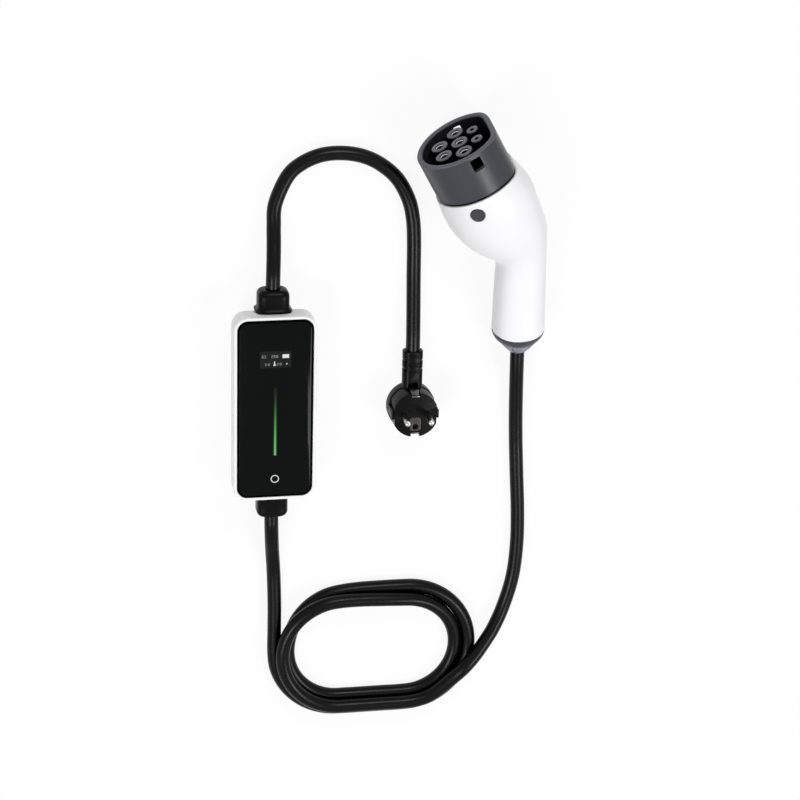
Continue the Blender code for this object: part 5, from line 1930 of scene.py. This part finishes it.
@dataclass
class Studio:
    """The pale floor, the soft lamps, the world and the camera."""

    target: tuple[float, float, float] = (0.10289, -0.00264, 0.020)
    view: tuple[float, float, float] = (-0.18, 0.36, 0.915)
    roll: float = 1.5
    distance: float = 2.1
    frame: float = 0.640
    floor_size: float = 8.0
    floor_drop: float = 0.0002
    floor_tone: float = 0.85
    floor_white: float = 0.90
    daylight: float = 0.29
    lamps: tuple[Lamp, ...] = (Lamp("left_lamp", (-0.80, -0.55, 1.46), (0.6, 0.5), 13.5),
                               Lamp("right_lamp", (1.00, -0.55, 1.46), (0.6, 0.5), 12.5),
                               Lamp("top_lamp", (0.35, 1.40, 1.40), (0.6, 0.4), 11.5))

    def build(self) -> None:
        """Set the stage."""
        bpy.context.scene.view_settings.view_transform = "Standard"
        self.floor()
        self.world()
        for lamp in self.lamps:
            self.hang(lamp)
        self.camera()

    def floor(self) -> None:
        """The floor, white to the camera but for the object's soft shadow."""
        deselect()
        bpy.ops.mesh.primitive_plane_add(size=self.floor_size, location=(0.1, 0, -self.floor_drop))
        floor = named("studio_floor")
        made, tree, shader = shader_of("floor_white")
        shader.inputs["Base Color"].default_value = (self.floor_tone, self.floor_tone, self.floor_tone, 1)
        shader.inputs["Roughness"].default_value = 0.9
        shader.inputs["Specular IOR Level"].default_value = 0.0
        white = tree.nodes.new("ShaderNodeEmission")
        mix = tree.nodes.new("ShaderNodeMixShader")
        share = tree.nodes.new("ShaderNodeMath")
        share.operation = "MULTIPLY"
        share.inputs[1].default_value = self.floor_white
        tree.links.new(self.seen_by(tree, tuple(Ray)), share.inputs[0])
        tree.links.new(share.outputs[0], mix.inputs["Fac"])
        tree.links.new(shader.outputs["BSDF"], mix.inputs[1])
        tree.links.new(white.outputs["Emission"], mix.inputs[2])
        tree.links.new(mix.outputs["Shader"], tree.nodes["Material Output"].inputs["Surface"])
        floor.data.materials.append(made)

    @staticmethod
    def seen_by(tree: Tree, rays: Sequence[Ray]) -> Socket:
        """A value that is 1 for the given kinds of ray.

        Args:
            tree: The tree to add to.
            rays: The kinds of ray.

        Returns:
            The value's socket.
        """
        path = tree.nodes.new("ShaderNodeLightPath")
        value = path.outputs[rays[0].value]
        for ray in rays[1:]:
            both = tree.nodes.new("ShaderNodeMath")
            both.operation = "MAXIMUM"
            tree.links.new(value, both.inputs[0])
            tree.links.new(path.outputs[ray.value], both.inputs[1])
            value = both.outputs[0]
        return value

    def world(self) -> None:
        """A plain light world, white where the camera sees it."""
        world = bpy.data.worlds.new("studio_world")
        bpy.context.scene.world = world
        world.use_nodes = True
        tree = world.node_tree
        plain = tree.nodes["Background"]
        plain.inputs["Color"].default_value = (1, 1, 1, 1)
        plain.inputs["Strength"].default_value = self.daylight
        white = tree.nodes.new("ShaderNodeBackground")
        white.inputs["Strength"].default_value = 1.0
        mix = tree.nodes.new("ShaderNodeMixShader")
        tree.links.new(self.seen_by(tree, tuple(Ray)), mix.inputs["Fac"])
        tree.links.new(plain.outputs["Background"], mix.inputs[1])
        tree.links.new(white.outputs["Background"], mix.inputs[2])
        tree.links.new(mix.outputs["Shader"], tree.nodes["World Output"].inputs["Surface"])

    def hang(self, lamp: Lamp) -> None:
        """Hang a lamp that looks at the object, with its long side across the cables.

        Args:
            lamp: The lamp.
        """
        deselect()
        bpy.ops.object.light_add(type="AREA", location=lamp.spot)
        made = bpy.context.object
        made.name = lamp.name
        made.data.shape = "RECTANGLE"
        made.data.size, made.data.size_y = lamp.size
        made.data.energy = lamp.power
        back = (Vector(lamp.spot) - Vector(self.target)).normalized()
        side = Vector((1, 0, 0))
        side = (side - back * side.dot(back)).normalized()
        made.rotation_euler = Matrix((side, back.cross(side), back)).transposed().to_euler()

    def camera(self) -> None:
        """The long-lens camera that looks down at the photograph's angle."""
        toward = Vector(self.view).normalized()
        up = (Vector((0, 1, 0)) - toward * toward.y).normalized()
        right = up.cross(toward)
        roll = math.radians(self.roll)
        cosine, sine = math.cos(roll), math.sin(roll)
        right, up = right * cosine + up * sine, up * cosine - right * sine
        data = bpy.data.cameras.new("camera")
        data.lens = data.sensor_width * self.distance / self.frame
        data.clip_end = 20.0
        camera = link("camera", data)
        turn = Matrix((right, up, toward)).transposed().to_4x4()
        camera.matrix_world = Matrix.Translation(Vector(self.target) + toward * self.distance) @ turn
        bpy.context.scene.camera = camera


def corners(box: Sequence[Vector]) -> list[list[float]]:
    """A box's corners as plain numbers."""
    return [[float(value) for value in corner] for corner in box]


def main() -> None:
    """Build the scene in order."""
    logging.basicConfig(level=logging.INFO, format="%(message)s")
    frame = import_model()
    Studio().build()
    box, connector, plug = ControlBox(), VehicleConnector(), MainsPlug()
    plug_pieces = plug.build()
    mains_lead(box, plug).build(plug_pieces)
    vehicle_lead(box, connector, Coil()).build()
    box.build()
    connector.build()
    Innards(frame["nodes"]).dress()


if __name__ == "__main__":
    main()
